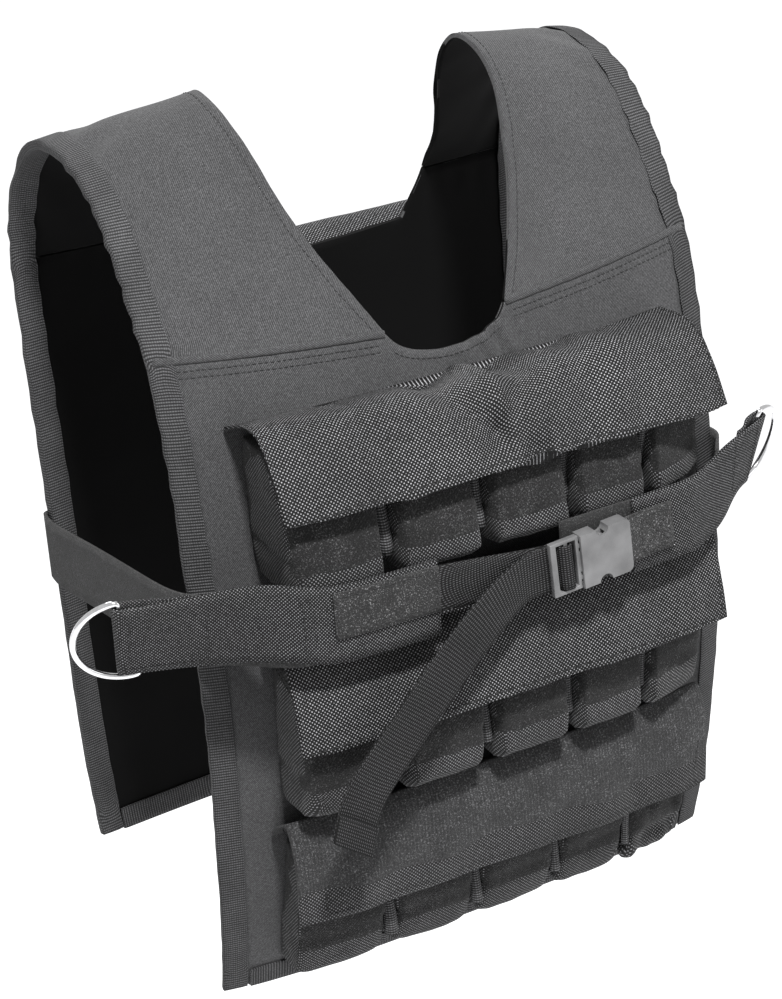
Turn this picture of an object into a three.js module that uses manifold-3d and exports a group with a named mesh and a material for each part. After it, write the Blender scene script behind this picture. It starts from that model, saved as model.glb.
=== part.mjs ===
// Weighted vest: two canvas panels joined over the shoulders, rows of filled pouches under long
// flaps, and a belt with two D-rings and a side-release buckle. Millimetres, +Z up. The front
// faces -Y and +X is the wearer's left side, on the right as seen from the front.
// The origin is on the centre plane, level with the underside of the shoulder straps.
import * as THREE from 'three';
import { mergeVertices } from 'three/addons/utils/BufferGeometryUtils.js';
import Module from 'manifold-3d';

const wasm = await Module();
wasm.setup();

// Driving dimensions of the shell
const PANEL_WIDTH = 376;
const SHOULDER_STRAP_WIDTH = 94;
const FRONT_LENGTH = 562;
const BACK_LENGTH = 541;
const FRONT_DEPTH = 157;
const BACK_DEPTH = 103;
const PANEL_THICKNESS = 3;
const FRONT_SEAM_DROP = 128;
const FRONT_SEAM_RISE = 6;
const FRONT_NECK_HALF_WIDTH = 42;
const FRONT_NECK_SCOOP = 17;
const BACK_SEAM_DROP = 118;
const BACK_NECK_SCOOP = 37;
const BACK_NECK_CORNER = 30;
const STRAP_CROWN = 1;

// Driving dimensions of the edge tape
const BINDING_WIDTH = 15;
const TAPE_THICKNESS = 1;

// Driving dimensions of the pouch rows
const POUCH_PITCH = 62;
const POUCH_WIDTH = 54;
const POUCH_HEIGHT = 100;
const POUCH_DEPTH = 57;
const POUCHES_PER_ROW = 5;
const FLAP_THICKNESS = 1.6;
const FLAP_STANDOFF = 5;
const FLAP_OVERHANG = 3;
const POUCH_TOP_GAP = 6;
const FLAP_RIPPLE = 1.2;

// Driving dimensions of the belt
const BELT_DROP = 271;
const SIDE_STRAP_WIDTH = 46;
const SIDE_STRAP_SINK = 45;
const SIDE_STRAP_CLEAR = 9;
const SIDE_STRAP_LAP = 28;
const WEBBING_THICKNESS = 1.8;
const LEFT_STRAP_END = 100;
const RIGHT_STRAP_END = 25;

// Driving dimensions of the ring straps. start is a place across the front, leave the place where
// the strap leaves the pouches, free its length from there, and foldBack the length folded round
// the ring's bar and sewn behind. The rise runs between two places given as shares of the row's
// half width. leanFrom is the share of the free length where the strap starts to lean outwards,
// and tilt turns the ring in the strap's plane.
const RING_STRAP_WIDTH = 50;
const LEFT_RING_STRAP = {
  start: 62, leave: 151, free: 104, foldBack: 42, angle: 18, tilt: 9,
  rise: 12, riseFrom: 0.83, riseTo: 1.18, leanFrom: 0,
};
const RIGHT_RING_STRAP = {
  start: 76, leave: 122, free: 78, foldBack: 24, angle: 24, tilt: 3,
  rise: 14, riseFrom: 0.85, riseTo: 1.32, leanFrom: 0.42,
};
const RING_STRAP_LEAN = 16;
const RING_WIRE = 4;
const RING_REACH = 33;
const RING_PLAY = 2;
const RING_SLACK = 5;
const RING_POCKET = 13;
const RING_CORNER = 3;

// Driving dimensions of the buckle and its webbing
const BUCKLE_WEBBING_WIDTH = 30;
const BUCKLE_WEBBING_THICKNESS = 1.3;
const PATCH_LEFT = 131;
const PATCH_RIGHT = 105;
const PATCH_RISE = 7;
const TAIL_REACH = 148;
const TAIL_FALL = 143;
const BUCKLE_ACROSS = 12;
const BUCKLE_SAG = 3;
const BUCKLE_TILT = 4;
const BUCKLE_LENGTH = 56;
const BUCKLE_WIDTH = 36;
const BUCKLE_THICKNESS = 9;
const LADDER_LENGTH = 20;
const LADDER_THICKNESS = 4.2;
const LADDER_OUTER_BAR = 4;
const LADDER_BAR = 2.6;
const LADDER_BAR_THICKNESS = 3;
const LADDER_RIM = 2.2;
const NOTCH_ALONG = 36;
const NOTCH_RADIUS = 4.6;
const END_BAR_RADIUS = 1.1;
const END_BAR_INSET = 4.5;

// Clearances between neighbours
const GAP = 0.3;
const LAYER_GAP = 0.4;
const CLOTH_GAP = 0.5;
const SEAM_GAP = 1.0;
const BACKING_GAP = 0.9;
const TOP_FLAP_GAP = 0.6;

const halfWidth = PANEL_WIDTH / 2;
const neckHalfWidth = halfWidth - SHOULDER_STRAP_WIDTH;
const rowHalfWidth = ((POUCHES_PER_ROW - 1) * POUCH_PITCH + POUCH_WIDTH) / 2;

// Panel sections from the top down. drop is a share of the panel's length, centre and edge are
// shares of its depth, width is a share of the half width.
const FRONT_SECTIONS = [
  { drop: 0.2, centre: 0.78, edge: 0.685, width: 1.0 },
  { drop: 0.27, centre: 0.87, edge: 0.77, width: 1.0 },
  { drop: 0.335, centre: 0.915, edge: 0.812, width: 1.0 },
  { drop: 0.413, centre: 0.942, edge: 0.843, width: 1.0 },
  { drop: 0.553, centre: 0.982, edge: 0.888, width: 1.0 },
  { drop: 0.64, centre: 1.0, edge: 0.908, width: 1.0 },
  { drop: 0.781, centre: 0.955, edge: 0.862, width: 0.995 },
  { drop: 0.899, centre: 0.885, edge: 0.8, width: 0.985 },
  { drop: 1.0, centre: 0.785, edge: 0.705, width: 0.975 },
];
const BACK_SECTIONS = [
  { drop: 0.18, centre: 0.81, edge: 0.955, width: 1.0 },
  { drop: 0.27, centre: 0.93, edge: 0.95, width: 1.0 },
  { drop: 0.415, centre: 0.985, edge: 0.895, width: 1.0 },
  { drop: 0.55, centre: 1.0, edge: 0.85, width: 1.0 },
  { drop: 0.765, centre: 0.955, edge: 0.815, width: 1.0 },
  { drop: 0.888, centre: 0.945, edge: 0.825, width: 0.99 },
  { drop: 1.0, centre: 0.86, edge: 0.775, width: 0.975 },
];

// Shoulder strap sections from the front seam over the top to the back seam. The drops are shares
// of the seam drop and the depths of the panel depth of their side. out is a share of the neck
// half width on the neck edge.
const SHOULDER_SECTIONS = [
  { side: -1, neckOut: 0.62, neckDepth: 0.71, neckDrop: 0.81, armDepth: 0.6, armDrop: 0.72 },
  { side: -1, neckOut: 0.79, neckDepth: 0.56, neckDrop: 0.55, armDepth: 0.485, armDrop: 0.5 },
  { side: -1, neckOut: 0.88, neckDepth: 0.445, neckDrop: 0.34, armDepth: 0.39, armDrop: 0.36 },
  { side: -1, neckOut: 0.94, neckDepth: 0.345, neckDrop: 0.17, armDepth: 0.27, armDrop: 0.25 },
  { side: -1, neckOut: 0.98, neckDepth: 0.18, neckDrop: 0.04, armDepth: 0.1, armDrop: 0.175 },
  { side: 1, neckOut: 0.98, neckDepth: 0.02, neckDrop: 0.01, armDepth: 0.16, armDrop: 0.165 },
  { side: 1, neckOut: 0.97, neckDepth: 0.22, neckDrop: 0.17, armDepth: 0.43, armDrop: 0.24 },
  { side: 1, neckOut: 1.05, neckDepth: 0.42, neckDrop: 0.45, armDepth: 0.67, armDrop: 0.43 },
  { side: 1, neckOut: 1.14, neckDepth: 0.62, neckDrop: 0.74, armDepth: 0.86, armDrop: 0.69 },
];
const BACK_NECK_OUT = 1.2;

// Pouch rows from the top. drop is a share of the panel's length, height of the pouch height,
// depth of the pouch depth, fall is how far the flap hangs down as a share of the pouch height.
const FRONT_ROWS = [
  { drop: 0.293, height: 0.92, depth: 1.0, fall: 0.38 },
  { drop: 0.546, height: 1.03, depth: 0.72, fall: 0.5 },
  { drop: 0.778, height: 1.06, depth: 0.5, fall: 0.54 },
];
const BACK_ROWS = [
  { drop: 0.31, height: 0.96, depth: 0.8, fall: 0.5 },
  { drop: 0.552, height: 1.0, depth: 0.76, fall: 0.5 },
  { drop: 0.785, height: 0.99, depth: 0.65, fall: 0.6 },
];

// The pouches of a row from the right to the left of the wearer. centre is a share of the pitch
// from the middle, width of the pouch width, and slant is the share of depth lost at the +X side.
const POUCH_COLUMNS = [
  { centre: -1.92, width: 1.11, slant: 0 },
  { centre: -0.84, width: 1.03, slant: 0 },
  { centre: 0.17, width: 1.0, slant: 0 },
  { centre: 1.12, width: 0.92, slant: 0.03 },
  { centre: 2.0, width: 0.9, slant: 0.26 },
];
// One pouch from its top to its bottom: depth and width are shares of the row's values.
const POUCH_LEVELS = [
  { down: 0.0, depth: 0.62, width: 0.92 },
  { down: 0.14, depth: 0.88, width: 0.98 },
  { down: 0.5, depth: 1.0, width: 1.0 },
  { down: 0.92, depth: 1.04, width: 1.0 },
  { down: 1.0, depth: 0.88, width: 0.94 },
];
// Half outline of a pouch seen from above, from the panel out to the middle of its face.
const POUCH_OUTLINE = [
  { across: 0.94, out: 0.0 },
  { across: 1.0, out: 0.3 },
  { across: 1.0, out: 0.86 },
  { across: 0.86, out: 0.98 },
];

// Flap section from the panel over the pouch tops. out is a share of the pouch depth and its
// standoff, down is a share of the flap's fall, level with the row's top at zero.
const FLAP_SECTION = [
  { out: 0.0, down: 0.0 },
  { out: 0.32, down: -0.22 },
  { out: 0.6, down: -0.31 },
  { out: 0.77, down: -0.16 },
  { out: 0.89, down: 0.12 },
  { out: 0.97, down: 0.52 },
  { out: 1.04, down: 1.0 },
];
// How far the first flap's ridge sinks towards its +X end, as a share of the fall.
const FLAP_DROOP = 0.45;
// The dent across the top of the first flap, as shares of the flap's half width and depth.
const FLAP_DENT = { across: 0.06, width: 0.14, depth: 0.16 };

const V = (x, y, z) => new THREE.Vector3(x, y, z);
const group = new THREE.Group();

const CANVAS = { color: 0x5c5d60, roughness: 0.95, metalness: 0 };
const WEAVE = { color: 0x3a3b3d, roughness: 0.9, metalness: 0 };
const LOOP = { color: 0x2d2e30, roughness: 1, metalness: 0 };
const CHROME = { color: 0xd8dadd, roughness: 0.12, metalness: 1 };
const PLASTIC = { color: 0x4a4b4e, roughness: 0.45, metalness: 0 };

function addPart(name, geometry, look) {
  const mesh = new THREE.Mesh(geometry, new THREE.MeshStandardMaterial(look));
  mesh.name = name;
  group.add(mesh);
}

// Reads one column of a table at any place, on a smooth curve through its rows.
function tableValue(table, key, column, place) {
  const last = table.length - 1;
  let row = 0;
  while (row < last - 1 && place > table[row + 1][key]) row += 1;
  const slope = (i) => {
    const a = table[Math.max(i - 1, 0)];
    const b = table[Math.min(i + 1, last)];
    return (b[column] - a[column]) / (b[key] - a[key]);
  };
  const from = table[row];
  const to = table[row + 1];
  const span = to[key] - from[key];
  const t = THREE.MathUtils.clamp((place - from[key]) / span, 0, 1);
  const startPull = slope(row) * span;
  const endPull = slope(row + 1) * span;
  const t2 = t * t;
  const t3 = t2 * t;
  const start = (2 * t3 - 3 * t2 + 1) * from[column] + (t3 - 2 * t2 + t) * startPull;
  return start + (3 * t2 - 2 * t3) * to[column] + (t3 - t2) * endPull;
}

// A closed solid from points and triangles, turned so that its faces point out.
function solid(points, triangles) {
  let volume = 0;
  for (const [a, b, c] of triangles) {
    volume += points[a].dot(points[b].clone().cross(points[c]));
  }
  const index = triangles.flatMap(([a, b, c]) => (volume < 0 ? [a, c, b] : [a, b, c]));
  const geometry = new THREE.BufferGeometry();
  const numbers = points.flatMap((p) => [p.x, p.y, p.z]);
  geometry.setAttribute('position', new THREE.Float32BufferAttribute(numbers, 3));
  geometry.setIndex(index);
  geometry.computeVertexNormals();
  return geometry;
}

// The unit normals of a grid of points, all on one side of it.
function gridNormals(grid) {
  return grid.map((row, i) => row.map((point, j) => {
    const before = grid[Math.max(i - 1, 0)][j];
    const after = grid[Math.min(i + 1, grid.length - 1)][j];
    const left = row[Math.max(j - 1, 0)];
    const right = row[Math.min(j + 1, row.length - 1)];
    return after.clone().sub(before).cross(right.clone().sub(left)).normalize();
  }));
}

// A cloth wall over a grid of points, between two offsets along the grid's normals. Cells left of
// the centre plane are cut along the other diagonal, so that both halves mirror each other.
function sheet(grid, low, high, normals = gridNormals(grid)) {
  const rows = grid.length;
  const columns = grid[0].length;
  const points = [];
  for (const offset of [low, high]) {
    grid.forEach((row, i) => row.forEach((point, j) => {
      points.push(point.clone().addScaledVector(normals[i][j], offset));
    }));
  }
  const at = (side, i, j) => side * rows * columns + i * columns + j;
  const triangles = [];
  const quad = (a, b, c, d) => triangles.push([a, b, c], [a, c, d]);
  const cell = (a, b, c, d, left) => (left ? quad(b, c, d, a) : quad(a, b, c, d));
  for (let i = 0; i < rows - 1; i += 1) {
    for (let j = 0; j < columns - 1; j += 1) {
      const left = grid[i][j].x + grid[i][j + 1].x < 0;
      cell(at(1, i, j), at(1, i + 1, j), at(1, i + 1, j + 1), at(1, i, j + 1), left);
      cell(at(0, i, j), at(0, i, j + 1), at(0, i + 1, j + 1), at(0, i + 1, j), !left);
    }
    quad(at(0, i, 0), at(0, i + 1, 0), at(1, i + 1, 0), at(1, i, 0));
    const end = columns - 1;
    quad(at(1, i, end), at(1, i + 1, end), at(0, i + 1, end), at(0, i, end));
  }
  for (let j = 0; j < columns - 1; j += 1) {
    quad(at(1, 0, j), at(1, 0, j + 1), at(0, 0, j + 1), at(0, 0, j));
    const end = rows - 1;
    quad(at(0, end, j), at(0, end, j + 1), at(1, end, j + 1), at(1, end, j));
  }
  return solid(points, triangles);
}

// A skin over a row of closed outlines with the same number of points. Open runs get end caps,
// cut into triangles by the flat outline, and a closed run joins its last outline to its first.
function loft(outlines, flatOutline, closed = false) {
  const count = outlines[0].length;
  const points = outlines.flat();
  const triangles = [];
  const runs = closed ? outlines.length : outlines.length - 1;
  for (let i = 0; i < runs; i += 1) {
    const here = i * count;
    const next = ((i + 1) % outlines.length) * count;
    for (let j = 0; j < count; j += 1) {
      const k = (j + 1) % count;
      triangles.push([here + j, next + j, next + k], [here + j, next + k, here + k]);
    }
  }
  if (!closed) {
    const end = (outlines.length - 1) * count;
    for (const [a, b, c] of THREE.ShapeUtils.triangulateShape(flatOutline, [])) {
      triangles.push([a, b, c], [end + a, end + c, end + b]);
    }
  }
  return orientedLoft(points, triangles, outlines, flatOutline, closed);
}

// Caps must turn the same way as the sides: the flat outline runs counterclockwise, and the
// sides follow the points' order, so both are flipped together by solid().
function orientedLoft(points, triangles, outlines, flatOutline, closed) {
  if (closed || THREE.ShapeUtils.area(flatOutline) > 0) return solid(points, triangles);
  const sides = (outlines.length - 1) * outlines[0].length * 2;
  return solid(points, triangles.map((t, i) => (i < sides ? t : [t[0], t[2], t[1]])));
}

// Surfaces of the two panels: a point for a place across and a drop below the strap tops. The
// front is nearly flat behind the pouches and bends back towards its edges.
const FRONT_BEND = 4;
const BACK_BEND = 2;
function panelPoint(side, across, drop) {
  const table = side < 0 ? FRONT_SECTIONS : BACK_SECTIONS;
  const length = side < 0 ? FRONT_LENGTH : BACK_LENGTH;
  const depth = side < 0 ? FRONT_DEPTH : BACK_DEPTH;
  const share = drop / length;
  const centre = tableValue(table, 'drop', 'centre', share);
  const edge = tableValue(table, 'drop', 'edge', share);
  const bend = Math.abs(across / halfWidth) ** (side < 0 ? FRONT_BEND : BACK_BEND);
  return V(across, side * depth * (centre + (edge - centre) * bend), PANEL_THICKNESS - drop);
}

function panelHalfWidth(side, drop) {
  const table = side < 0 ? FRONT_SECTIONS : BACK_SECTIONS;
  const length = side < 0 ? FRONT_LENGTH : BACK_LENGTH;
  return halfWidth * tableValue(table, 'drop', 'width', drop / length);
}

// The panel's outward normal, from two short steps along its face.
function panelNormal(side, across, drop) {
  const step = 1;
  const over = panelPoint(side, across + step, drop).sub(panelPoint(side, across - step, drop));
  const down = panelPoint(side, across, drop + step).sub(panelPoint(side, across, drop - step));
  const normal = over.cross(down).normalize();
  return normal.y * side < 0 ? normal.negate() : normal;
}

// The front yoke seam climbs towards the arms and dips in a scoop at the neck.
function frontTopDrop(across) {
  const out = Math.abs(across);
  if (out < FRONT_NECK_HALF_WIDTH) {
    const round = Math.sqrt(1 - (out / FRONT_NECK_HALF_WIDTH) ** 2);
    return FRONT_SEAM_DROP + FRONT_SEAM_RISE + FRONT_NECK_SCOOP * round;
  }
  const share = (out - FRONT_NECK_HALF_WIDTH) / (halfWidth - FRONT_NECK_HALF_WIDTH);
  return FRONT_SEAM_DROP + FRONT_SEAM_RISE * (1 - 2 * share);
}

// The back neck is a flat-bottomed scoop with round corners between the straps.
const backNeckHalfWidth = neckHalfWidth * BACK_NECK_OUT;
function backTopDrop(across) {
  const out = Math.abs(across);
  if (out >= backNeckHalfWidth) return BACK_SEAM_DROP;
  const into = THREE.MathUtils.clamp((backNeckHalfWidth - out) / BACK_NECK_CORNER, 0, 1);
  return BACK_SEAM_DROP + BACK_NECK_SCOOP * Math.sqrt(1 - (1 - into) ** 2);
}

// Panels: columns across, rows down to the hem, with one row and column under the tape's edge.
// The columns outside the neck are the shoulder strap's own, so that both meet along the seam.
const tapeInset = BINDING_WIDTH;
const FRONT_ROW_COUNT = 11;
const BACK_ROW_COUNT = 9;
const SHOULDER_COLUMNS = [0, 0.28, 0.56, 1 - BINDING_WIDTH / SHOULDER_STRAP_WIDTH, 1];

// Where a shoulder column meets a seam that runs from the neck to the arm.
function seamAcross(neck, share) {
  const underTape = share > 0.8 && share < 1;
  return underTape ? halfWidth - tapeInset : THREE.MathUtils.lerp(neck, halfWidth, share);
}

function panelColumns(neck) {
  const right = [neck * 0.45, neck * 0.85, ...SHOULDER_COLUMNS.map((share) => seamAcross(neck, share))];
  return [...right.map((x) => -x).reverse(), 0, ...right];
}

function panelDrops(side, topDrop, count) {
  const hem = side < 0 ? FRONT_LENGTH : BACK_LENGTH;
  const drops = [];
  for (let i = 0; i < count; i += 1) {
    drops.push(THREE.MathUtils.lerp(topDrop, hem - tapeInset, i / (count - 1)));
  }
  return [...drops, hem];
}

function panelGrid(side, neck, topDropAt, count) {
  const inner = halfWidth - tapeInset;
  const rows = [];
  for (let i = 0; i <= count; i += 1) {
    rows.push(panelColumns(neck).map((x) => {
      const drop = panelDrops(side, topDropAt(x) + SEAM_GAP / 2, count)[i];
      const limit = panelHalfWidth(side, drop);
      const fromArm = Math.sign(x) * (limit - (halfWidth - Math.abs(x)));
      const across = Math.abs(x) >= inner ? fromArm : (x * limit) / halfWidth;
      return panelPoint(side, i === 0 ? x : across, drop);
    }));
  }
  return rows;
}

const frontGrid = panelGrid(-1, FRONT_NECK_HALF_WIDTH, frontTopDrop, FRONT_ROW_COUNT);
const backGrid = panelGrid(1, backNeckHalfWidth, backTopDrop, BACK_ROW_COUNT);

function panelWall(side, grid) {
  const normals = grid.map((row) => row.map((p) => panelNormal(side, p.x, PANEL_THICKNESS - p.z)));
  return sheet(grid, -PANEL_THICKNESS, 0, normals);
}

addPart('front_panel', panelWall(-1, frontGrid), CANVAS);
addPart('back_panel', panelWall(1, backGrid), CANVAS);

// Shoulder straps: columns from the neck edge to the arm edge, rows from seam to seam
const SHOULDER_STEPS = 22;

function shoulderColumn(share) {
  const frontAcross = seamAcross(FRONT_NECK_HALF_WIDTH, share);
  const points = [panelPoint(-1, frontAcross, frontTopDrop(frontAcross) - SEAM_GAP / 2)];
  for (const row of SHOULDER_SECTIONS) {
    const depth = row.side < 0 ? FRONT_DEPTH : BACK_DEPTH;
    const seam = row.side < 0 ? FRONT_SEAM_DROP : BACK_SEAM_DROP;
    const neck = V(row.neckOut * neckHalfWidth, row.side * row.neckDepth * depth, -row.neckDrop * seam);
    const arm = V(halfWidth, row.side * row.armDepth * depth, -row.armDrop * seam);
    const tape = neck.x + (halfWidth - neck.x) * share;
    const across = share < 1 && share > 0.8 ? halfWidth - tapeInset : tape;
    const point = neck.clone().lerp(arm, (across - neck.x) / (halfWidth - neck.x));
    point.z += PANEL_THICKNESS + STRAP_CROWN * Math.sin(Math.PI * share);
    points.push(point);
  }
  points.push(panelPoint(1, seamAcross(backNeckHalfWidth, share), BACK_SEAM_DROP - SEAM_GAP / 2));
  return new THREE.CatmullRomCurve3(points, false, 'centripetal');
}

function shoulderGrid() {
  const columns = SHOULDER_COLUMNS.map(shoulderColumn);
  const rows = [];
  for (let i = 0; i <= SHOULDER_STEPS; i += 1) {
    rows.push(columns.map((curve) => curve.getPoint(i / SHOULDER_STEPS)));
  }
  return rows;
}

const mirrorGrid = (grid) => grid.map((row) => row.map((p) => V(-p.x, p.y, p.z)).reverse());
const rightShoulder = shoulderGrid();
const shoulders = { right: rightShoulder, left: mirrorGrid(rightShoulder) };

// The end rows take the panels' normals, so that the walls' cut faces stay parallel.
function shoulderWall(grid) {
  const normals = gridNormals(grid);
  const middle = Math.round(SHOULDER_STEPS / 2);
  if (normals[middle][2].z < 0) normals.flat().forEach((n) => n.negate());
  const drop = (p) => PANEL_THICKNESS - p.z;
  normals[0] = grid[0].map((p) => panelNormal(-1, p.x, drop(p)));
  normals[SHOULDER_STEPS] = grid[SHOULDER_STEPS].map((p) => panelNormal(1, p.x, drop(p)));
  return sheet(grid, -PANEL_THICKNESS, 0, normals);
}

addPart('shoulder_left', shoulderWall(shoulders.left), CANVAS);
addPart('shoulder_right', shoulderWall(shoulders.right), CANVAS);

// Edge tape: a U section round the wall's edge. Each station has the edge point and the point
// one tape width inside it, both on the outer face.
function tapeOutline() {
  const outer = CLOTH_GAP + TAPE_THICKNESS;
  const inner = -PANEL_THICKNESS - CLOTH_GAP;
  return [
    new THREE.Vector2(-BINDING_WIDTH, CLOTH_GAP),
    new THREE.Vector2(CLOTH_GAP, CLOTH_GAP),
    new THREE.Vector2(CLOTH_GAP, inner),
    new THREE.Vector2(-BINDING_WIDTH, inner),
    new THREE.Vector2(-BINDING_WIDTH, inner - TAPE_THICKNESS),
    new THREE.Vector2(outer, inner - TAPE_THICKNESS),
    new THREE.Vector2(outer, outer),
    new THREE.Vector2(-BINDING_WIDTH, outer),
  ];
}

function tapeSolid(stations, outwardAt) {
  const outline = tapeOutline();
  const outlines = stations.map(([edge, inside], i) => {
    const out = edge.clone().sub(inside).normalize();
    const before = stations[Math.max(i - 1, 0)][0];
    const after = stations[Math.min(i + 1, stations.length - 1)][0];
    const along = after.clone().sub(before).normalize();
    const normal = along.clone().cross(out).normalize();
    if (normal.dot(outwardAt(edge)) < 0) normal.negate();
    return outline.map((p) => edge.clone().addScaledVector(out, p.x).addScaledVector(normal, p.y));
  });
  return loft(outlines, outline);
}

// Outward from the wearer's side of the vest: forwards, up or backwards.
const seamZ = PANEL_THICKNESS - FRONT_SEAM_DROP;
const outwardFrom = (point) => V(0, point.y, Math.max(point.z - seamZ, 0));

function sideStations() {
  const pick = (grid) => grid.map((row) => [row[row.length - 1], row[row.length - 2]]);
  const front = pick(frontGrid).reverse().slice(0, -1);
  return [...front, ...pick(shoulders.right), ...pick(backGrid).slice(1)];
}

function mirrored(geometry) {
  const copy = geometry.clone().scale(-1, 1, 1);
  const index = Array.from(copy.index.array);
  for (let i = 0; i < index.length; i += 3) {
    [index[i + 1], index[i + 2]] = [index[i + 2], index[i + 1]];
  }
  copy.setIndex(index);
  copy.computeVertexNormals();
  return copy;
}

const rightBinding = tapeSolid(sideStations(), outwardFrom);
addPart('side_binding_left', mirrored(rightBinding), WEAVE);
addPart('side_binding_right', rightBinding, WEAVE);

// The hem tape runs between the side tapes' inner edges
function hemStations(grid) {
  const hem = grid[grid.length - 1].slice(1, -1);
  const above = grid[grid.length - 2].slice(1, -1);
  const stations = hem.map((point, j) => [point.clone(), above[j].clone()]);
  for (const end of [stations[0], stations[stations.length - 1]]) {
    for (const point of end) point.x -= Math.sign(point.x) * CLOTH_GAP;
  }
  return stations;
}

addPart('front_hem_binding', tapeSolid(hemStations(frontGrid), () => V(0, -1, 0)), WEAVE);
addPart('back_hem_binding', tapeSolid(hemStations(backGrid), () => V(0, 1, 0)), WEAVE);

// Pouches: closed filled forms whose backs follow the panel's face
function rowSizes(side, row) {
  const length = side < 0 ? FRONT_LENGTH : BACK_LENGTH;
  return {
    top: row.drop * length,
    height: row.height * POUCH_HEIGHT,
    depth: row.depth * POUCH_DEPTH,
    fall: row.fall * POUCH_HEIGHT,
  };
}

function pouchSolid(side, row, column) {
  const size = rowSizes(side, row);
  const half = (column.width * POUCH_WIDTH) / 2;
  const outlines = POUCH_LEVELS.map((level) => {
    const drop = size.top + POUCH_TOP_GAP + level.down * (size.height - POUCH_TOP_GAP);
    const right = POUCH_OUTLINE.map((p) => [p.across, p.out]);
    const left = right.map(([across, out]) => [-across, out]).reverse();
    return [...right, [0, 1], ...left, [0, 0]].map(([across, out]) => {
      const x = across * half * level.width;
      const depth = size.depth * level.depth * (1 - (column.slant * (1 + across)) / 2);
      const base = panelPoint(side, column.centre * POUCH_PITCH + x, drop);
      return base.add(V(0, side * (BACKING_GAP + out * depth), 0));
    });
  });
  const flat = outlines[0].map((p) => new THREE.Vector2(p.x, p.y));
  return loft(outlines, flat);
}

function flapGrid(side, row, first) {
  const size = rowSizes(side, row);
  const half = rowHalfWidth + FLAP_OVERHANG;
  const count = POUCHES_PER_ROW * 3;
  const reach = size.depth + FLAP_STANDOFF;
  const grid = [];
  for (let i = 0; i <= count; i += 1) {
    const share = (2 * i) / count - 1;
    const across = share * half;
    const wave = FLAP_RIPPLE * (1 + Math.cos((2 * Math.PI * across) / POUCH_PITCH));
    const hollow = Math.exp(-(((share - FLAP_DENT.across) / FLAP_DENT.width) ** 2));
    const droop = FLAP_DROOP * THREE.MathUtils.smoothstep(share, 0.35, 1);
    grid.push(FLAP_SECTION.map((p) => {
      const drop = size.top + p.down * size.fall;
      const base = panelPoint(side, across, Math.max(drop, size.top));
      const dent = hollow * FLAP_DENT.depth * Math.max(0, 0.4 - p.down);
      const lower = droop * p.out * THREE.MathUtils.clamp(1.25 - p.down, 0, 1);
      const sink = first ? (dent + lower) * size.fall : 0;
      const out = p.out * reach + (p.out > 0.9 ? wave : 0) + CLOTH_GAP + FLAP_THICKNESS;
      const root = first ? TOP_FLAP_GAP : BACKING_GAP;
      const start = p.out === 0 ? root : out;
      return V(across, base.y + side * start, PANEL_THICKNESS - drop - (p.out > 0 ? sink : 0));
    }));
  }
  return grid;
}

function addRows(side, label, rows) {
  rows.forEach((row, r) => {
    const grid = flapGrid(side, row, r === 0 && side < 0);
    addPart(`${label}_flap_${r + 1}`, sheet(grid, -FLAP_THICKNESS / 2, FLAP_THICKNESS / 2), WEAVE);
    POUCH_COLUMNS.forEach((column, c) => {
      addPart(`${label}_pouch_${r + 1}_${c + 1}`, pouchSolid(side, row, column), LOOP);
    });
  });
}

addRows(-1, 'front', FRONT_ROWS);
addRows(1, 'back', BACK_ROWS);

// Belt: places on it are given across the front and out from the line where its innermost layer
// lies on the pouches. Past the place where the right ring strap leaves, the line turns back.
const beltZ = PANEL_THICKNESS - BELT_DROP;
const beltTopDrop = BELT_DROP - SIDE_STRAP_WIDTH / 2;
const fullest = Math.max(...POUCH_LEVELS.map((level) => level.depth));
const beltReach = FRONT_ROWS[0].depth * fullest * POUCH_DEPTH + 2 * BACKING_GAP;
const beltTurn = Math.tan(THREE.MathUtils.degToRad(RIGHT_RING_STRAP.angle));

function beltLine(across, layer) {
  const clipped = THREE.MathUtils.clamp(across, -rowHalfWidth, RIGHT_RING_STRAP.leave);
  const past = Math.max(across - RIGHT_RING_STRAP.leave, 0);
  return panelPoint(-1, clipped, beltTopDrop).y - beltReach - layer + past * beltTurn;
}

const sideLayer = WEBBING_THICKNESS / 2;
const ringLayer = sideLayer + WEBBING_THICKNESS + 2 * LAYER_GAP;
const patchLayer = ringLayer + (WEBBING_THICKNESS + BUCKLE_WEBBING_THICKNESS) / 2 + LAYER_GAP;
const webbingPitch = BUCKLE_WEBBING_THICKNESS + GAP;

// A flat strip along a path: each station has its centre and the direction of its width.
function strip(stations, width, thickness) {
  const grid = stations.map(({ at, wide }) => {
    const low = at.clone().addScaledVector(wide, -width / 2);
    return [low, at.clone().addScaledVector(wide, width / 2)];
  });
  return sheet(grid, -thickness / 2, thickness / 2);
}

const UP = V(0, 0, 1);
const upright = (points) => points.map((at) => ({ at, wide: UP.clone() }));
const smooth = (points, count) =>
  new THREE.CatmullRomCurve3(points, false, 'centripetal').getSpacedPoints(count);

// Side straps: from the front pouches round the open side to the back panel's edge. out is the
// way past the row's end to the side, depth the way from the row's end to the back panel's edge,
// and sink the share of the drop behind the belt's front height.
const SIDE_PATH = [
  { out: 0.17, depth: 0.035, sink: 0.04 },
  { out: 0.5, depth: 0.11, sink: 0.11 },
  { out: 0.85, depth: 0.185, sink: 0.2 },
  { out: 0.97, depth: 0.25, sink: 0.28 },
  { out: 1.0, depth: 0.34, sink: 0.37 },
  { out: 1.0, depth: 0.5, sink: 0.51 },
  { out: 0.99, depth: 0.68, sink: 0.68 },
  { out: 0.96, depth: 0.85, sink: 0.88 },
  { out: 0.93, depth: 0.95, sink: 1.0 },
];
const SIDE_STRAP_STEPS = 20;
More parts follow.
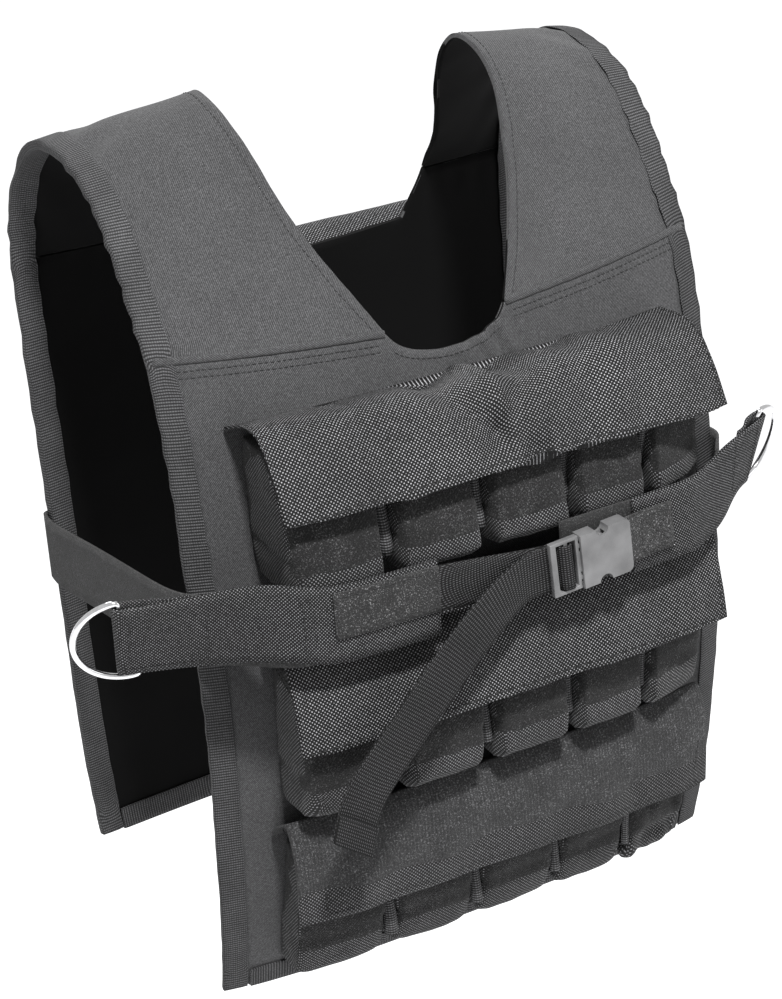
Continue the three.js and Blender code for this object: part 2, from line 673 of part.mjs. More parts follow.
// The strap's turn round the back panel's edge, as shares of its distance from that edge.
const WRAP_PATH = [
  { out: 1.0, back: -0.3 },
  { out: 0.88, back: 0.45 },
  { out: 0.5, back: 0.88 },
  { out: -0.3, back: 1.0 },
];

function sideStrap(sign, frontEnd, leave) {
  const reach = halfWidth + SIDE_STRAP_CLEAR - rowHalfWidth;
  const backDrop = BELT_DROP + SIDE_STRAP_SINK;
  const edge = panelPoint(1, halfWidth, backDrop);
  const onPouches = (x) => V(sign * x, beltLine(sign * x, sideLayer), beltZ);
  const path = [];
  for (const share of [0, 0.25, 0.5, 0.75]) {
    path.push(onPouches(THREE.MathUtils.lerp(frontEnd, leave, share)));
  }
  if (leave < rowHalfWidth) path.push(onPouches(leave));
  const points = [onPouches(rowHalfWidth)];
  for (const p of SIDE_PATH) {
    const y = THREE.MathUtils.lerp(points[0].y, edge.y, p.depth);
    points.push(V(sign * (rowHalfWidth + p.out * reach), y, beltZ - p.sink * SIDE_STRAP_SINK));
  }
  path.push(...smooth(points, SIDE_STRAP_STEPS));
  const away = CLOTH_GAP + TAPE_THICKNESS + 2 * BACKING_GAP + LAYER_GAP + WEBBING_THICKNESS / 2;
  for (const p of WRAP_PATH) {
    path.push(V(sign * (edge.x + p.out * away), edge.y + p.back * away, beltZ - SIDE_STRAP_SINK));
  }
  for (const share of [0.45, 0.75, 1]) {
    const at = panelPoint(1, halfWidth - share * SIDE_STRAP_LAP, backDrop);
    path.push(V(sign * at.x, at.y + away, beltZ - SIDE_STRAP_SINK));
  }
  return strip(upright(path), SIDE_STRAP_WIDTH, WEBBING_THICKNESS);
}

addPart('side_strap_left', sideStrap(-1, LEFT_STRAP_END, LEFT_RING_STRAP.leave), LOOP);
addPart('side_strap_right', sideStrap(1, RIGHT_STRAP_END, RIGHT_RING_STRAP.leave), LOOP);

// Ring straps: along the pouches, then free, out and back, round the ring's bar and a short way
// back behind themselves
function ringFrame(sign, strap) {
  const angle = THREE.MathUtils.degToRad(strap.angle);
  const lean = THREE.MathUtils.degToRad(RING_STRAP_LEAN);
  const along = V(sign * Math.cos(angle), Math.sin(angle), 0);
  const outward = V(sign * Math.sin(angle), -Math.cos(angle), 0);
  const wide = UP.clone().multiplyScalar(Math.cos(lean)).addScaledVector(outward, Math.sin(lean));
  const normal = outward.clone().multiplyScalar(Math.cos(lean)).addScaledVector(UP, -Math.sin(lean));
  const leave = V(sign * strap.leave, beltLine(sign * strap.leave, ringLayer), beltZ);
  const foldRadius = RING_WIRE / 2 + LAYER_GAP + WEBBING_THICKNESS / 2;
  const fold = leave.clone().addScaledVector(along, strap.free).addScaledVector(normal, -foldRadius);
  fold.z += strap.rise;
  const tilt = THREE.MathUtils.degToRad(strap.tilt);
  return {
    along,
    wide,
    normal,
    leave,
    fold,
    foldRadius,
    bar: fold.clone().addScaledVector(along, -RING_SLACK),
    ringAlong: along.clone().multiplyScalar(Math.cos(tilt)).addScaledVector(wide, -Math.sin(tilt)),
    ringWide: wide.clone().multiplyScalar(Math.cos(tilt)).addScaledVector(along, Math.sin(tilt)),
  };
}

const FOLD_STEPS = 6;
function ringStrap(sign, strap) {
  const frame = ringFrame(sign, strap);
  const leanAt = (share) => {
    const lean = THREE.MathUtils.smoothstep(share, strap.leanFrom, 0.88);
    return UP.clone().lerp(frame.wide, lean).normalize();
  };
  const riseAt = (place) => {
    const from = strap.riseFrom * rowHalfWidth;
    return strap.rise * THREE.MathUtils.smoothstep(place, from, strap.riseTo * rowHalfWidth);
  };
  const stations = [];
  for (const share of [0, 0.33, 0.6, 0.8, 1]) {
    const x = THREE.MathUtils.lerp(strap.start, strap.leave, share);
    const at = V(sign * x, beltLine(sign * x, ringLayer), beltZ + riseAt(x));
    stations.push({ at, wide: UP.clone() });
  }
  for (const share of [0.12, 0.3, 0.5, 0.7, 0.88]) {
    const at = frame.leave.clone().addScaledVector(frame.along, share * strap.free);
    at.z += riseAt(strap.leave + share * strap.free);
    stations.push({ at, wide: leanAt(share) });
  }
  for (let i = 0; i <= FOLD_STEPS; i += 1) {
    const turn = Math.PI * (i / FOLD_STEPS);
    const at = frame.fold.clone();
    at.addScaledVector(frame.normal, frame.foldRadius * Math.cos(turn));
    at.addScaledVector(frame.along, frame.foldRadius * Math.sin(turn));
    stations.push({ at, wide: frame.wide.clone() });
  }
  const pocket = frame.fold.clone().addScaledVector(frame.normal, -frame.foldRadius);
  stations.push({ at: pocket.addScaledVector(frame.along, -RING_POCKET), wide: frame.wide.clone() });
  const behind = frame.foldRadius - WEBBING_THICKNESS - LAYER_GAP * 2;
  for (const share of [0.72, 1]) {
    const back = share * strap.foldBack;
    const at = frame.fold.clone().addScaledVector(frame.normal, behind);
    at.addScaledVector(frame.along, -back);
    at.z += riseAt(strap.leave + strap.free - back) - strap.rise;
    stations.push({ at, wide: leanAt(1 - back / strap.free) });
  }
  return strip(stations, RING_STRAP_WIDTH, WEBBING_THICKNESS);
}

// D-ring: a straight bar in the strap's fold and a half ellipse outside it
const RING_ARC_STEPS = 14;
const RING_SIDES = 6;
function ringSolid(sign, strap) {
  const frame = ringFrame(sign, strap);
  const half = RING_STRAP_WIDTH / 2 + RING_PLAY + RING_WIRE / 2;
  const path = [];
  const corner = RING_CORNER * (1 - Math.SQRT1_2);
  for (const w of [-half + RING_CORNER, 0, half - RING_CORNER]) path.push([0, w]);
  path.push([corner, half - corner]);
  for (let i = 0; i <= RING_ARC_STEPS; i += 1) {
    const turn = Math.PI * (i / RING_ARC_STEPS);
    path.push([RING_CORNER + (RING_REACH - RING_CORNER) * Math.sin(turn), half * Math.cos(turn)]);
  }
  path.push([corner, corner - half]);
  const outlines = path.map(([out, up], i) => {
    const before = path[(i + path.length - 1) % path.length];
    const after = path[(i + 1) % path.length];
    const run = new THREE.Vector2(after[0] - before[0], after[1] - before[1]).normalize();
    const sideways = frame.ringAlong.clone().multiplyScalar(run.y);
    sideways.addScaledVector(frame.ringWide, -run.x);
    const centre = frame.bar.clone().addScaledVector(frame.ringAlong, out);
    centre.addScaledVector(frame.ringWide, up);
    return Array.from({ length: RING_SIDES }, (unused, k) => {
      const turn = (2 * Math.PI * k) / RING_SIDES;
      const point = centre.clone().addScaledVector(sideways, (RING_WIRE / 2) * Math.cos(turn));
      return point.addScaledVector(frame.normal, (RING_WIRE / 2) * Math.sin(turn));
    });
  });
  return loft(outlines, [], true);
}

addPart('ring_strap_left', ringStrap(-1, LEFT_RING_STRAP), WEAVE);
addPart('ring_strap_right', ringStrap(1, RIGHT_RING_STRAP), WEAVE);
addPart('ring_left', ringSolid(-1, LEFT_RING_STRAP), CHROME);
addPart('ring_right', ringSolid(1, RIGHT_RING_STRAP), CHROME);

// Buckle frame: along from the ladder's outer bar to the end, up across the webbing, and out
// from the belt's innermost layer
const ladderBack = patchLayer + webbingPitch * 1.5;
const buckleMiddle = ladderBack + LADDER_THICKNESS / 2;
const buckleZ = beltZ - BUCKLE_SAG;
const buckleStart = V(BUCKLE_ACROSS, beltLine(BUCKLE_ACROSS, 0), buckleZ);
const buckleStop = BUCKLE_ACROSS + BUCKLE_LENGTH;
const buckleLevel = V(buckleStop, beltLine(buckleStop, 0), buckleZ).sub(buckleStart).normalize();
const buckleOut = buckleLevel.clone().cross(UP);
const buckleTilt = THREE.MathUtils.degToRad(BUCKLE_TILT);
const buckleAlong = buckleLevel.clone().applyAxisAngle(buckleOut, buckleTilt);
const buckleUp = buckleOut.clone().cross(buckleAlong);
const bucklePoint = (along, out) =>
  buckleStart.clone().addScaledVector(buckleAlong, along).addScaledVector(buckleOut, out);

function toManifold(geometry) {
  const bare = geometry.clone();
  bare.deleteAttribute('normal');
  bare.deleteAttribute('uv');
  const merged = mergeVertices(bare, 1e-4);
  const vertProperties = new Float32Array(merged.attributes.position.array);
  const triVerts = new Uint32Array(merged.index.array);
  return new wasm.Manifold(new wasm.Mesh({ numProp: 3, vertProperties, triVerts }));
}

function fromManifold(body) {
  const mesh = body.getMesh();
  const geometry = new THREE.BufferGeometry();
  geometry.setAttribute('position', new THREE.BufferAttribute(mesh.vertProperties, 3));
  geometry.setIndex(new THREE.BufferAttribute(mesh.triVerts, 1));
  geometry.computeVertexNormals();
  return geometry;
}

// Places a piece drawn along X, up Y and out Z on the buckle's frame.
function onBuckle(geometry, out) {
  const basis = new THREE.Matrix4().makeBasis(buckleAlong, buckleUp, buckleOut);
  basis.setPosition(bucklePoint(0, out));
  return geometry.applyMatrix4(basis);
}

function block(width, height, depth, x, y, z) {
  return new THREE.BoxGeometry(width, height, depth).translate(x, y, z);
}

const tongueGap = CLOTH_GAP;
const armOut = BUCKLE_WIDTH / 2 - NOTCH_RADIUS - 1.2;
const armWidth = 3;
const tongueHalf = armOut - armWidth - 2.4;
const tongueTip = NOTCH_ALONG + NOTCH_RADIUS;

function femaleSolid() {
  const half = BUCKLE_WIDTH / 2;
  const shape = new THREE.Shape();
  const round = 4;
  shape.moveTo(LADDER_LENGTH + GAP, -half);
  shape.lineTo(NOTCH_ALONG - NOTCH_RADIUS, -half);
  shape.absarc(NOTCH_ALONG, -half, NOTCH_RADIUS, Math.PI, 0, true);
  shape.lineTo(BUCKLE_LENGTH - round, -half);
  shape.absarc(BUCKLE_LENGTH - round, -half + round, round, -Math.PI / 2, 0, false);
  shape.lineTo(BUCKLE_LENGTH, half - round);
  shape.absarc(BUCKLE_LENGTH - round, half - round, round, 0, Math.PI / 2, false);
  shape.lineTo(NOTCH_ALONG + NOTCH_RADIUS, half);
  shape.absarc(NOTCH_ALONG, half, NOTCH_RADIUS, 0, Math.PI, true);
  shape.lineTo(LADDER_LENGTH + GAP, half);
  shape.closePath();
  const options = { depth: BUCKLE_THICKNESS, bevelEnabled: false, curveSegments: 6 };
  const shell = new THREE.ExtrudeGeometry(shape, options).translate(0, 0, -BUCKLE_THICKNESS / 2);
  const mouthHalf = half - NOTCH_RADIUS + 1;
  const mouthEnd = tongueTip + tongueGap;
  const mouthLength = mouthEnd - LADDER_LENGTH + 1;
  const mouthDepth = LADDER_THICKNESS + 2 * tongueGap;
  const mouth = block(mouthLength, 2 * mouthHalf, mouthDepth, mouthEnd - mouthLength / 2, 0, 0);
  const layers = 2 * (BUCKLE_WEBBING_THICKNESS + 2 * GAP + END_BAR_RADIUS);
  const slotStart = mouthEnd + 1.4;
  const slotLength = BUCKLE_LENGTH - slotStart + 1;
  const slotUp = BUCKLE_WEBBING_WIDTH + 2 * GAP + 0.4;
  const slot = block(slotLength, slotUp, layers, slotStart + slotLength / 2, 0, 0);
  const bar = new THREE.CylinderGeometry(END_BAR_RADIUS, END_BAR_RADIUS, slotUp + 1, 10);
  bar.translate(BUCKLE_LENGTH - END_BAR_INSET, 0, 0);
  const cut = toManifold(shell).subtract(toManifold(mouth)).subtract(toManifold(slot));
  return onBuckle(fromManifold(cut.add(toManifold(bar))), buckleMiddle);
}

function maleSolid() {
  const half = BUCKLE_WIDTH / 2;
  const shape = new THREE.Shape();
  const bulge = 1.5;
  const edge = [[0, half], [LADDER_LENGTH, half], [LADDER_LENGTH, armOut]];
  edge.push([NOTCH_ALONG - NOTCH_RADIUS, armOut], [NOTCH_ALONG, armOut + bulge]);
  edge.push([tongueTip, armOut - bulge], [tongueTip, armOut - armWidth]);
  edge.push([LADDER_LENGTH, armOut - armWidth], [LADDER_LENGTH, tongueHalf], [tongueTip, tongueHalf]);
  const mirrored = edge.map(([x, y]) => [x, -y]).reverse();
  [...edge, ...mirrored].forEach(([x, y], i) => (i ? shape.lineTo(x, y) : shape.moveTo(x, y)));
  shape.closePath();
  const inner = half - LADDER_RIM;
  const windows = (LADDER_LENGTH - LADDER_OUTER_BAR - LADDER_BAR - LADDER_RIM) / 2;
  const starts = [LADDER_OUTER_BAR, LADDER_OUTER_BAR + windows + LADDER_BAR];
  const options = { depth: LADDER_THICKNESS, bevelEnabled: false };
  let body = toManifold(new THREE.ExtrudeGeometry(shape, options).translate(0, 0, -LADDER_THICKNESS / 2));
  for (const start of starts) {
    const hole = block(windows, 2 * inner, LADDER_THICKNESS + 2, start + windows / 2, 0, 0);
    body = body.subtract(toManifold(hole));
  }
  const spare = LADDER_THICKNESS - LADDER_BAR_THICKNESS;
  const barAt = LADDER_OUTER_BAR + windows + LADDER_BAR / 2;
  const trim = block(LADDER_BAR + 1, 2 * inner, 2 * spare, barAt, 0, -LADDER_THICKNESS / 2);
  return onBuckle(fromManifold(body.subtract(toManifold(trim))), buckleMiddle);
}

addPart('buckle_female', femaleSolid(), PLASTIC);
addPart('buckle_male', maleSolid(), PLASTIC);

// Left buckle webbing: sewn on the ring strap, under the ladder, over its middle bar and back,
// then the free tail. The loop's places are shares of the ladder's length along and layers out.
const LOOP_PATH = [
  { along: 0.0, out: 0 },
  { along: 0.4, out: 0 },
  { along: 0.62, out: 0 },
  { along: 0.72, out: 0.7 },
  { along: 0.76, out: 2 },
  { along: 0.76, out: 4 },
  { along: 0.7, out: 5.1 },
  { along: 0.55, out: 5.5 },
  { along: 0.4, out: 5.1 },
  { along: 0.345, out: 3.8 },
  { along: 0.335, out: 2.4 },
  { along: 0.27, out: 1.35 },
  { along: 0.15, out: 1.0 },
  { along: -0.2, out: 1.0 },
];
// Tail rows: reach and fall are shares of the tail's, turn is how far its width leans from
// upright in the front plane, lift how many webbing layers it stands out.
const TAIL_PATH = [
  { reach: 0.1, fall: 0.0, turn: 0, lift: 1.4 },
  { reach: 0.165, fall: 0.02, turn: 10, lift: 3 },
  { reach: 0.25, fall: 0.06, turn: 23, lift: 4.5 },
  { reach: 0.35, fall: 0.125, turn: 34, lift: 6 },
  { reach: 0.48, fall: 0.235, turn: 42, lift: 7 },
  { reach: 0.62, fall: 0.38, turn: 48, lift: 7 },
  { reach: 0.78, fall: 0.57, turn: 50, lift: 6.5 },
  { reach: 0.9, fall: 0.72, turn: 53, lift: 5.5 },
  { reach: 0.96, fall: 0.84, turn: 56, lift: 5 },
  { reach: 1.0, fall: 1.0, turn: 54, lift: 5 },
];

function leftWebbing() {
  const under = ladderBack - webbingPitch * 1.5 - webbingPitch / 2 + GAP / 2;
  const points = [];
  for (const share of [0, 0.25, 0.5, 0.75, 1]) {
    const x = -THREE.MathUtils.lerp(PATCH_LEFT, LEFT_RING_STRAP.start, share);
    points.push({ at: V(x, beltLine(x, patchLayer), beltZ + PATCH_RISE), wide: UP.clone() });
  }
  for (const p of LOOP_PATH) {
    const at = bucklePoint(p.along * LADDER_LENGTH, under + p.out * webbingPitch);
    points.push({ at, wide: buckleUp.clone() });
  }
  for (const p of TAIL_PATH) {
    const x = BUCKLE_ACROSS - p.reach * TAIL_REACH;
    const turn = THREE.MathUtils.degToRad(p.turn);
    const y = beltLine(x, under + p.lift * webbingPitch);
    const at = V(x, y, buckleZ - p.fall * TAIL_FALL);
    points.push({ at, wide: V(-Math.sin(turn), 0, Math.cos(turn)) });
  }
  return strip(points, BUCKLE_WEBBING_WIDTH, BUCKLE_WEBBING_THICKNESS);
}
addPart('buckle_strap_left', leftWebbing(), WEAVE);

// Right buckle webbing: sewn on the right ring strap, round the bar in the buckle's end
function rightWebbing() {
  const around = END_BAR_RADIUS + GAP + BUCKLE_WEBBING_THICKNESS / 2;
  const bar = BUCKLE_LENGTH - END_BAR_INSET;
  const onPatch = (x, layer) => ({
    at: V(x, beltLine(x, patchLayer + layer * webbingPitch), buckleZ + BUCKLE_LENGTH * 0.07),
    wide: buckleUp.clone(),
  });
  const inSlot = (along, out) => ({ at: bucklePoint(along, buckleMiddle + out), wide: buckleUp.clone() });
  const past = RIGHT_RING_STRAP.start + WEBBING_THICKNESS * 2;
  const stations = [onPatch(PATCH_RIGHT, 0), onPatch((PATCH_RIGHT + past) / 2, 0), onPatch(past, 0)];
  stations.push(inSlot(BUCKLE_LENGTH, -around));
  for (let i = 0; i <= FOLD_STEPS; i += 1) {
    const turn = Math.PI * (i / FOLD_STEPS);
    stations.push(inSlot(bar - around * Math.sin(turn), -around * Math.cos(turn)));
  }
  stations.push(inSlot(BUCKLE_LENGTH, around));
  stations.push(onPatch(past + 6, 1.2), onPatch((PATCH_RIGHT + past) / 2, 1), onPatch(PATCH_RIGHT - 2, 1));
  return strip(stations, BUCKLE_WEBBING_WIDTH, BUCKLE_WEBBING_THICKNESS);
}
addPart('buckle_strap_right', rightWebbing(), LOOP);

export default group;
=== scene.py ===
"""Looks of the weighted vest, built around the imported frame. Metres, in the frame of the part."""

import math

import bmesh
import bpy
import numpy as np
from mathutils import Matrix, Vector
from mathutils.bvhtree import BVHTree


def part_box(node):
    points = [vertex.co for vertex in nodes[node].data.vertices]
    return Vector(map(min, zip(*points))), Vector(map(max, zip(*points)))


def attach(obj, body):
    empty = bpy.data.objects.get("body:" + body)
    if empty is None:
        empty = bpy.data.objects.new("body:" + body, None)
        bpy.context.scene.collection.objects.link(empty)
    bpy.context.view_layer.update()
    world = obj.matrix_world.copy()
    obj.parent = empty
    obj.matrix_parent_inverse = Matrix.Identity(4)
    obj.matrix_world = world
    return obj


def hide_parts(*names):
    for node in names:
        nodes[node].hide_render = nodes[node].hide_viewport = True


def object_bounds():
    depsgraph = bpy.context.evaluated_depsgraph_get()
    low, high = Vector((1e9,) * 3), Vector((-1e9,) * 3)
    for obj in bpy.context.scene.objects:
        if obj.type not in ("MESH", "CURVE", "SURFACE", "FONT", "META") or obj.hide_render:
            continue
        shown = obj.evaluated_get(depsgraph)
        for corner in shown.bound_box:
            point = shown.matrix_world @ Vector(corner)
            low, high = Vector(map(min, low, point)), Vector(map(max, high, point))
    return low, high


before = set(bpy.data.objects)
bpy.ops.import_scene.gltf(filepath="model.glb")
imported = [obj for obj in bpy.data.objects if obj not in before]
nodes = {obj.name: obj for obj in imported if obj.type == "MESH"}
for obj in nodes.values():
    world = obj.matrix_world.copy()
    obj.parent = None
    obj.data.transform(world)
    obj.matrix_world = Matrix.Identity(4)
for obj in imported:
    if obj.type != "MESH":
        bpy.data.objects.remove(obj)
cad_box = [list(corner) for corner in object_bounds()]
MM = 0.001
BODY = {"ring_left": "left_ring", "ring_right": "right_ring"}
TAU = 2 * math.pi


# Camera at the photograph's angle
CAMERA_PLACE = (-0.7459, -1.4720, 0.4584)
CAMERA_FORWARD = (0.420, 0.805, -0.419)
CAMERA_UP = (0.258, 0.337, 0.906)


def make_camera():
    data = bpy.data.cameras.new("camera")
    data.sensor_width = 36
    data.lens = 97.55
    data.clip_start = 0.05
    data.clip_end = 50
    camera = bpy.data.objects.new("camera", data)
    bpy.context.scene.collection.objects.link(camera)
    forward = Vector(CAMERA_FORWARD).normalized()
    up = Vector(CAMERA_UP)
    up = (up - forward * up.dot(forward)).normalized()
    right = forward.cross(up)
    turn = Matrix((right, up, -forward)).transposed().to_4x4()
    camera.matrix_world = Matrix.Translation(CAMERA_PLACE) @ turn
    bpy.context.scene.camera = camera


def make_light(name, place, target, size, power):
    data = bpy.data.lights.new(name, "AREA")
    data.shape = "DISK"
    data.size = size
    data.energy = power
    light = bpy.data.objects.new(name, data)
    bpy.context.scene.collection.objects.link(light)
    light.location = place
    away = Vector(place) - Vector(target)
    light.rotation_euler = away.to_track_quat("Z", "Y").to_euler()


make_camera()
make_light("key", (-0.35, -1.5, 2.0), (0, -0.05, -0.25), 0.26, 118)
make_light("fill", (1.6, -1.5, 0.5), (0, 0, -0.25), 1.4, 6)
make_light("back", (0.4, 1.8, 1.2), (0, 0, -0.2), 1.2, 26)
world = bpy.data.worlds.new("world")
bpy.context.scene.world = world
world.use_nodes = True
world.node_tree.nodes["Background"].inputs["Color"].default_value = (1, 1, 1, 1)
world.node_tree.nodes["Background"].inputs["Strength"].default_value = 0.6
bpy.context.scene.view_settings.view_transform = "Standard"


# Materials. Each pattern reads the cloth's own flat coordinates, in metres.
class Graph:
    """A material's node tree with short calls for what the patterns need."""

    def __init__(self, name, roughness, metallic=0.0, sheen=0.0):
        self.material = bpy.data.materials.new(name)
        self.material.use_nodes = True
        self.tree = self.material.node_tree
        self.shader = self.tree.nodes["Principled BSDF"]
        self.shader.inputs["Metallic"].default_value = metallic
        self.shader.inputs["Roughness"].default_value = roughness
        self.shader.inputs["Sheen Weight"].default_value = sheen
        self.shader.inputs["Sheen Roughness"].default_value = 0.6
        if not metallic and roughness > 0.5:
            self.shader.inputs["Specular IOR Level"].default_value = 0.25

    def node(self, kind, values=(), **settings):
        made = self.tree.nodes.new(kind)
        for key, value in settings.items():
            setattr(made, key, value)
        for key, value in dict(values).items():
            if isinstance(value, bpy.types.NodeSocket):
                self.tree.links.new(value, made.inputs[key])
            else:
                made.inputs[key].default_value = value
        return made

    def math(self, operation, a, b=0.0, c=0.0):
        values = {0: a, 1: b}
        if operation == "MULTIPLY_ADD":
            values[2] = c
        return self.node("ShaderNodeMath", values, operation=operation).outputs[0]

    def flat(self):
        uv = self.node("ShaderNodeUVMap", uv_map="cloth").outputs[0]
        parts = self.node("ShaderNodeSeparateXYZ", {0: uv})
        return parts.outputs[0], parts.outputs[1]

    def place(self, kind="Object"):
        return self.node("ShaderNodeTexCoord").outputs[kind]

    def noise(self, scale, detail=2.0, roughness=0.5, vector=None):
        values = {"Scale": scale, "Detail": detail, "Roughness": roughness}
        values["Vector"] = self.place() if vector is None else vector
        return self.node("ShaderNodeTexNoise", values).outputs["Fac"]

    def wave(self, x, pitch, shift=0.0):
        turned = self.math("MULTIPLY_ADD", x, TAU / pitch, shift)
        return self.math("SINE", turned)

    def ramp(self, value, *stops, dye=0.38):
        """A grey for each stop; dye scales the cloth's lightness, and is 1 for plain shares."""
        made = self.node("ShaderNodeValToRGB", {0: value})
        ramp = made.color_ramp
        while len(ramp.elements) < len(stops):
            ramp.elements.new(0.5)
        for element, (at, shade) in zip(ramp.elements, stops):
            element.position = at
            element.color = tint(shade * dye)
        return made.outputs[0]

    def mix(self, share, a, b):
        values = {0: share, 6: a, 7: b}
        return self.node("ShaderNodeMix", values, data_type="RGBA").outputs[2]

    def scaled(self, colour, value):
        values = {0: 1.0, 6: colour, 7: value}
        made = self.node("ShaderNodeMix", values, data_type="RGBA", blend_type="MULTIPLY")
        return made.outputs[2]

    def finish(self, colour, height, distance, strength=1.0):
        self.tree.links.new(colour, self.shader.inputs["Base Color"])
        values = {"Height": height, "Distance": distance, "Strength": strength}
        bump = self.node("ShaderNodeBump", values)
        self.tree.links.new(bump.outputs[0], self.shader.inputs["Normal"])
        return self.material


def tint(shade):
    """A nearly neutral grey of that lightness."""
    return (shade, shade, shade * 1.015, 1)


def woven(g, u, v, pitch, low, high, wear=0.5):
    """Crossing threads: bright dots where one set lies over the other."""
    cross = g.math("MULTIPLY", g.wave(u, 2 * pitch), g.wave(v, 2 * pitch))
    loose = g.noise(700, 2)
    height = g.math("MULTIPLY_ADD", cross, 0.5, 0.5)
    dots = g.math("MULTIPLY_ADD", loose, 0.5, g.math("SUBTRACT", height, 0.25))
    colour = g.ramp(dots, (0.5, low), (0.72, low * 5), (0.95, high))
    patch = g.ramp(g.noise(14, 3, 0.6), (0.3, 1 - wear * 0.4), (0.7, 1 + wear * 0.5), dye=1)
    return g.scaled(colour, patch), height


def canvas_material():
    g = Graph("charcoal_canvas", 0.95, sheen=0.06)
    u, v = g.flat()
    slope = g.math("ADD", u, v)
    twill = g.math("MULTIPLY_ADD", g.wave(slope, 1.5 * MM), 0.25, 0.5)
    fleck = g.noise(900, 2, 0.75)
    both = g.math("ADD", g.math("MULTIPLY", twill, 0.5), g.math("MULTIPLY", fleck, 0.55))
    colour = g.ramp(both, (0.36, 0.045), (0.54, 0.115), (0.74, 0.3))
    cloud = g.ramp(g.noise(9, 4, 0.6), (0.3, 0.84), (0.7, 1.14), dye=1)
    return g.finish(g.scaled(colour, cloud), both, 0.3 * MM, 0.6)


def lining_material():
    g = Graph("dark_lining", 0.8)
    u, v = g.flat()
    threads = g.math("MULTIPLY", g.wave(u, 0.9 * MM), g.wave(v, 0.9 * MM))
    colour = g.ramp(g.noise(5, 3), (0.3, 0.003), (0.7, 0.008))
    g.shader.inputs["Specular IOR Level"].default_value = 0.08
    return g.finish(colour, threads, 0.05 * MM, 0.4)


def basket_material(name, pitch, low, high):
    g = Graph(name, 0.78)
    u, v = g.flat()
    colour, height = woven(g, u, v, pitch, low, high)
    return g.finish(colour, height, 0.5 * MM, 0.9)


def loop_colour(g, low=0.013, high=0.3):
    fuzz = g.noise(1000, 3, 0.8)
    matted = g.noise(60, 3, 0.6)
    both = g.math("ADD", g.math("MULTIPLY", fuzz, 0.86), g.math("MULTIPLY", matted, 0.14))
    return g.ramp(both, (0.42, low), (0.56, low * 2.6), (0.66, high)), fuzz


def loop_material(name, low=0.02, high=0.3):
    g = Graph(name, 1.0, sheen=0.08)
    colour, fuzz = loop_colour(g, low, high)
    return g.finish(colour, fuzz, 0.9 * MM, 0.9)


def pouch_material():
    """A fuzzy patch over most of the face and ribbed cloth on the sides and along the bottom."""
    g = Graph("pouch_cloth", 0.95, sheen=0.05)
    u, v = g.flat()
    fuzzy, fuzz = loop_colour(g)
    plain, ribs = woven(g, u, v, 1.25 * MM, 0.012, 0.6)
    parts = g.node("ShaderNodeSeparateXYZ", {0: g.place("Generated")})
    up = g.math("MULTIPLY_ADD", g.noise(40, 1), 0.05, parts.outputs[2])
    inside = g.math("GREATER_THAN", up, 0.24)
    across = g.math("ABSOLUTE", g.math("SUBTRACT", parts.outputs[0], 0.5))
    inside = g.math("MULTIPLY", inside, g.math("LESS_THAN", across, 0.47))
    colour = g.mix(inside, plain, fuzzy)
    height = g.math("ADD", g.math("MULTIPLY", inside, fuzz), g.math("MULTIPLY", ribs, 0.5))
    return g.finish(colour, height, 0.7 * MM, 0.8)


def banded_flap_material():
    """The lowest flap: fuzzy over its upper part, bare weave below a wavy seam."""
    g = Graph("banded_flap_cloth", 0.95, sheen=0.06)
    u, v = g.flat()
    fuzzy, fuzz = loop_colour(g, 0.034, 0.42)
    rows = g.math("MULTIPLY_ADD", g.wave(u, 2.4 * MM), 0.5, 0.5)
    pile = g.ramp(rows, (0.0, 0.82), (1.0, 1.2), dye=1)
    bare, height = woven(g, u, v, 1.3 * MM, 0.014, 0.5)
    wavy = g.math("MULTIPLY_ADD", g.wave(u, 61 * MM), 1.6 * MM, v)
    wavy = g.math("MULTIPLY_ADD", g.wave(u, 143 * MM, 1.0), 2.2 * MM, wavy)
    below = g.math("GREATER_THAN", wavy, FLAP_BAND)
    colour = g.mix(below, g.scaled(fuzzy, pile), bare)
    relief = g.math("ADD", g.math("MULTIPLY", fuzz, 0.8), g.math("MULTIPLY", below, -0.8))
    relief = g.math("ADD", relief, g.math("MULTIPLY", g.math("MULTIPLY", height, below), 0.6))
    return g.finish(colour, relief, 0.7 * MM, 0.9)


def ribbed_material(name, pitch, low, high, along=0, dots=0.28):
    """Tape and webbing with ribs: across its length, or along it."""
    g = Graph(name, 0.8)
    parts = g.flat()
    ribs = g.math("MULTIPLY_ADD", g.wave(parts[along], pitch), 0.5, 0.5)
    fine = g.wave(parts[1 - along], 1.5 * MM)
    ridges = g.math("MULTIPLY", ribs, 0.98 - dots)
    mixed = g.math("MULTIPLY_ADD", g.math("MULTIPLY", fine, ribs), dots, ridges)
    mixed = g.math("ADD", mixed, g.math("MULTIPLY_ADD", g.noise(600, 2), 0.5, -0.22))
    colour = g.ramp(mixed, (0.15, low), (0.9, high))
    cloud = g.ramp(g.noise(22, 3, 0.6), (0.3, 0.8), (0.7, 1.2), dye=1)
    return g.finish(g.scaled(colour, cloud), mixed, 0.45 * MM, 0.85)


def chrome_material():
    g = Graph("bright_plating", 0.09, metallic=1.0)
    scuffs = g.noise(240, 4, 0.7)
    colour = g.ramp(scuffs, (0.3, 0.74), (0.7, 0.92), dye=1)
    return g.finish(colour, scuffs, 0.03 * MM, 0.25)


def plastic_material():
    g = Graph("satin_plastic", 0.34)
    grain = g.noise(1500, 3, 0.6)
    cloud = g.noise(60, 2)
    colour = g.ramp(g.math("MULTIPLY_ADD", grain, 0.3, cloud), (0.4, 0.10), (0.95, 0.19), dye=1)
    return g.finish(colour, grain, 0.04 * MM, 0.4)


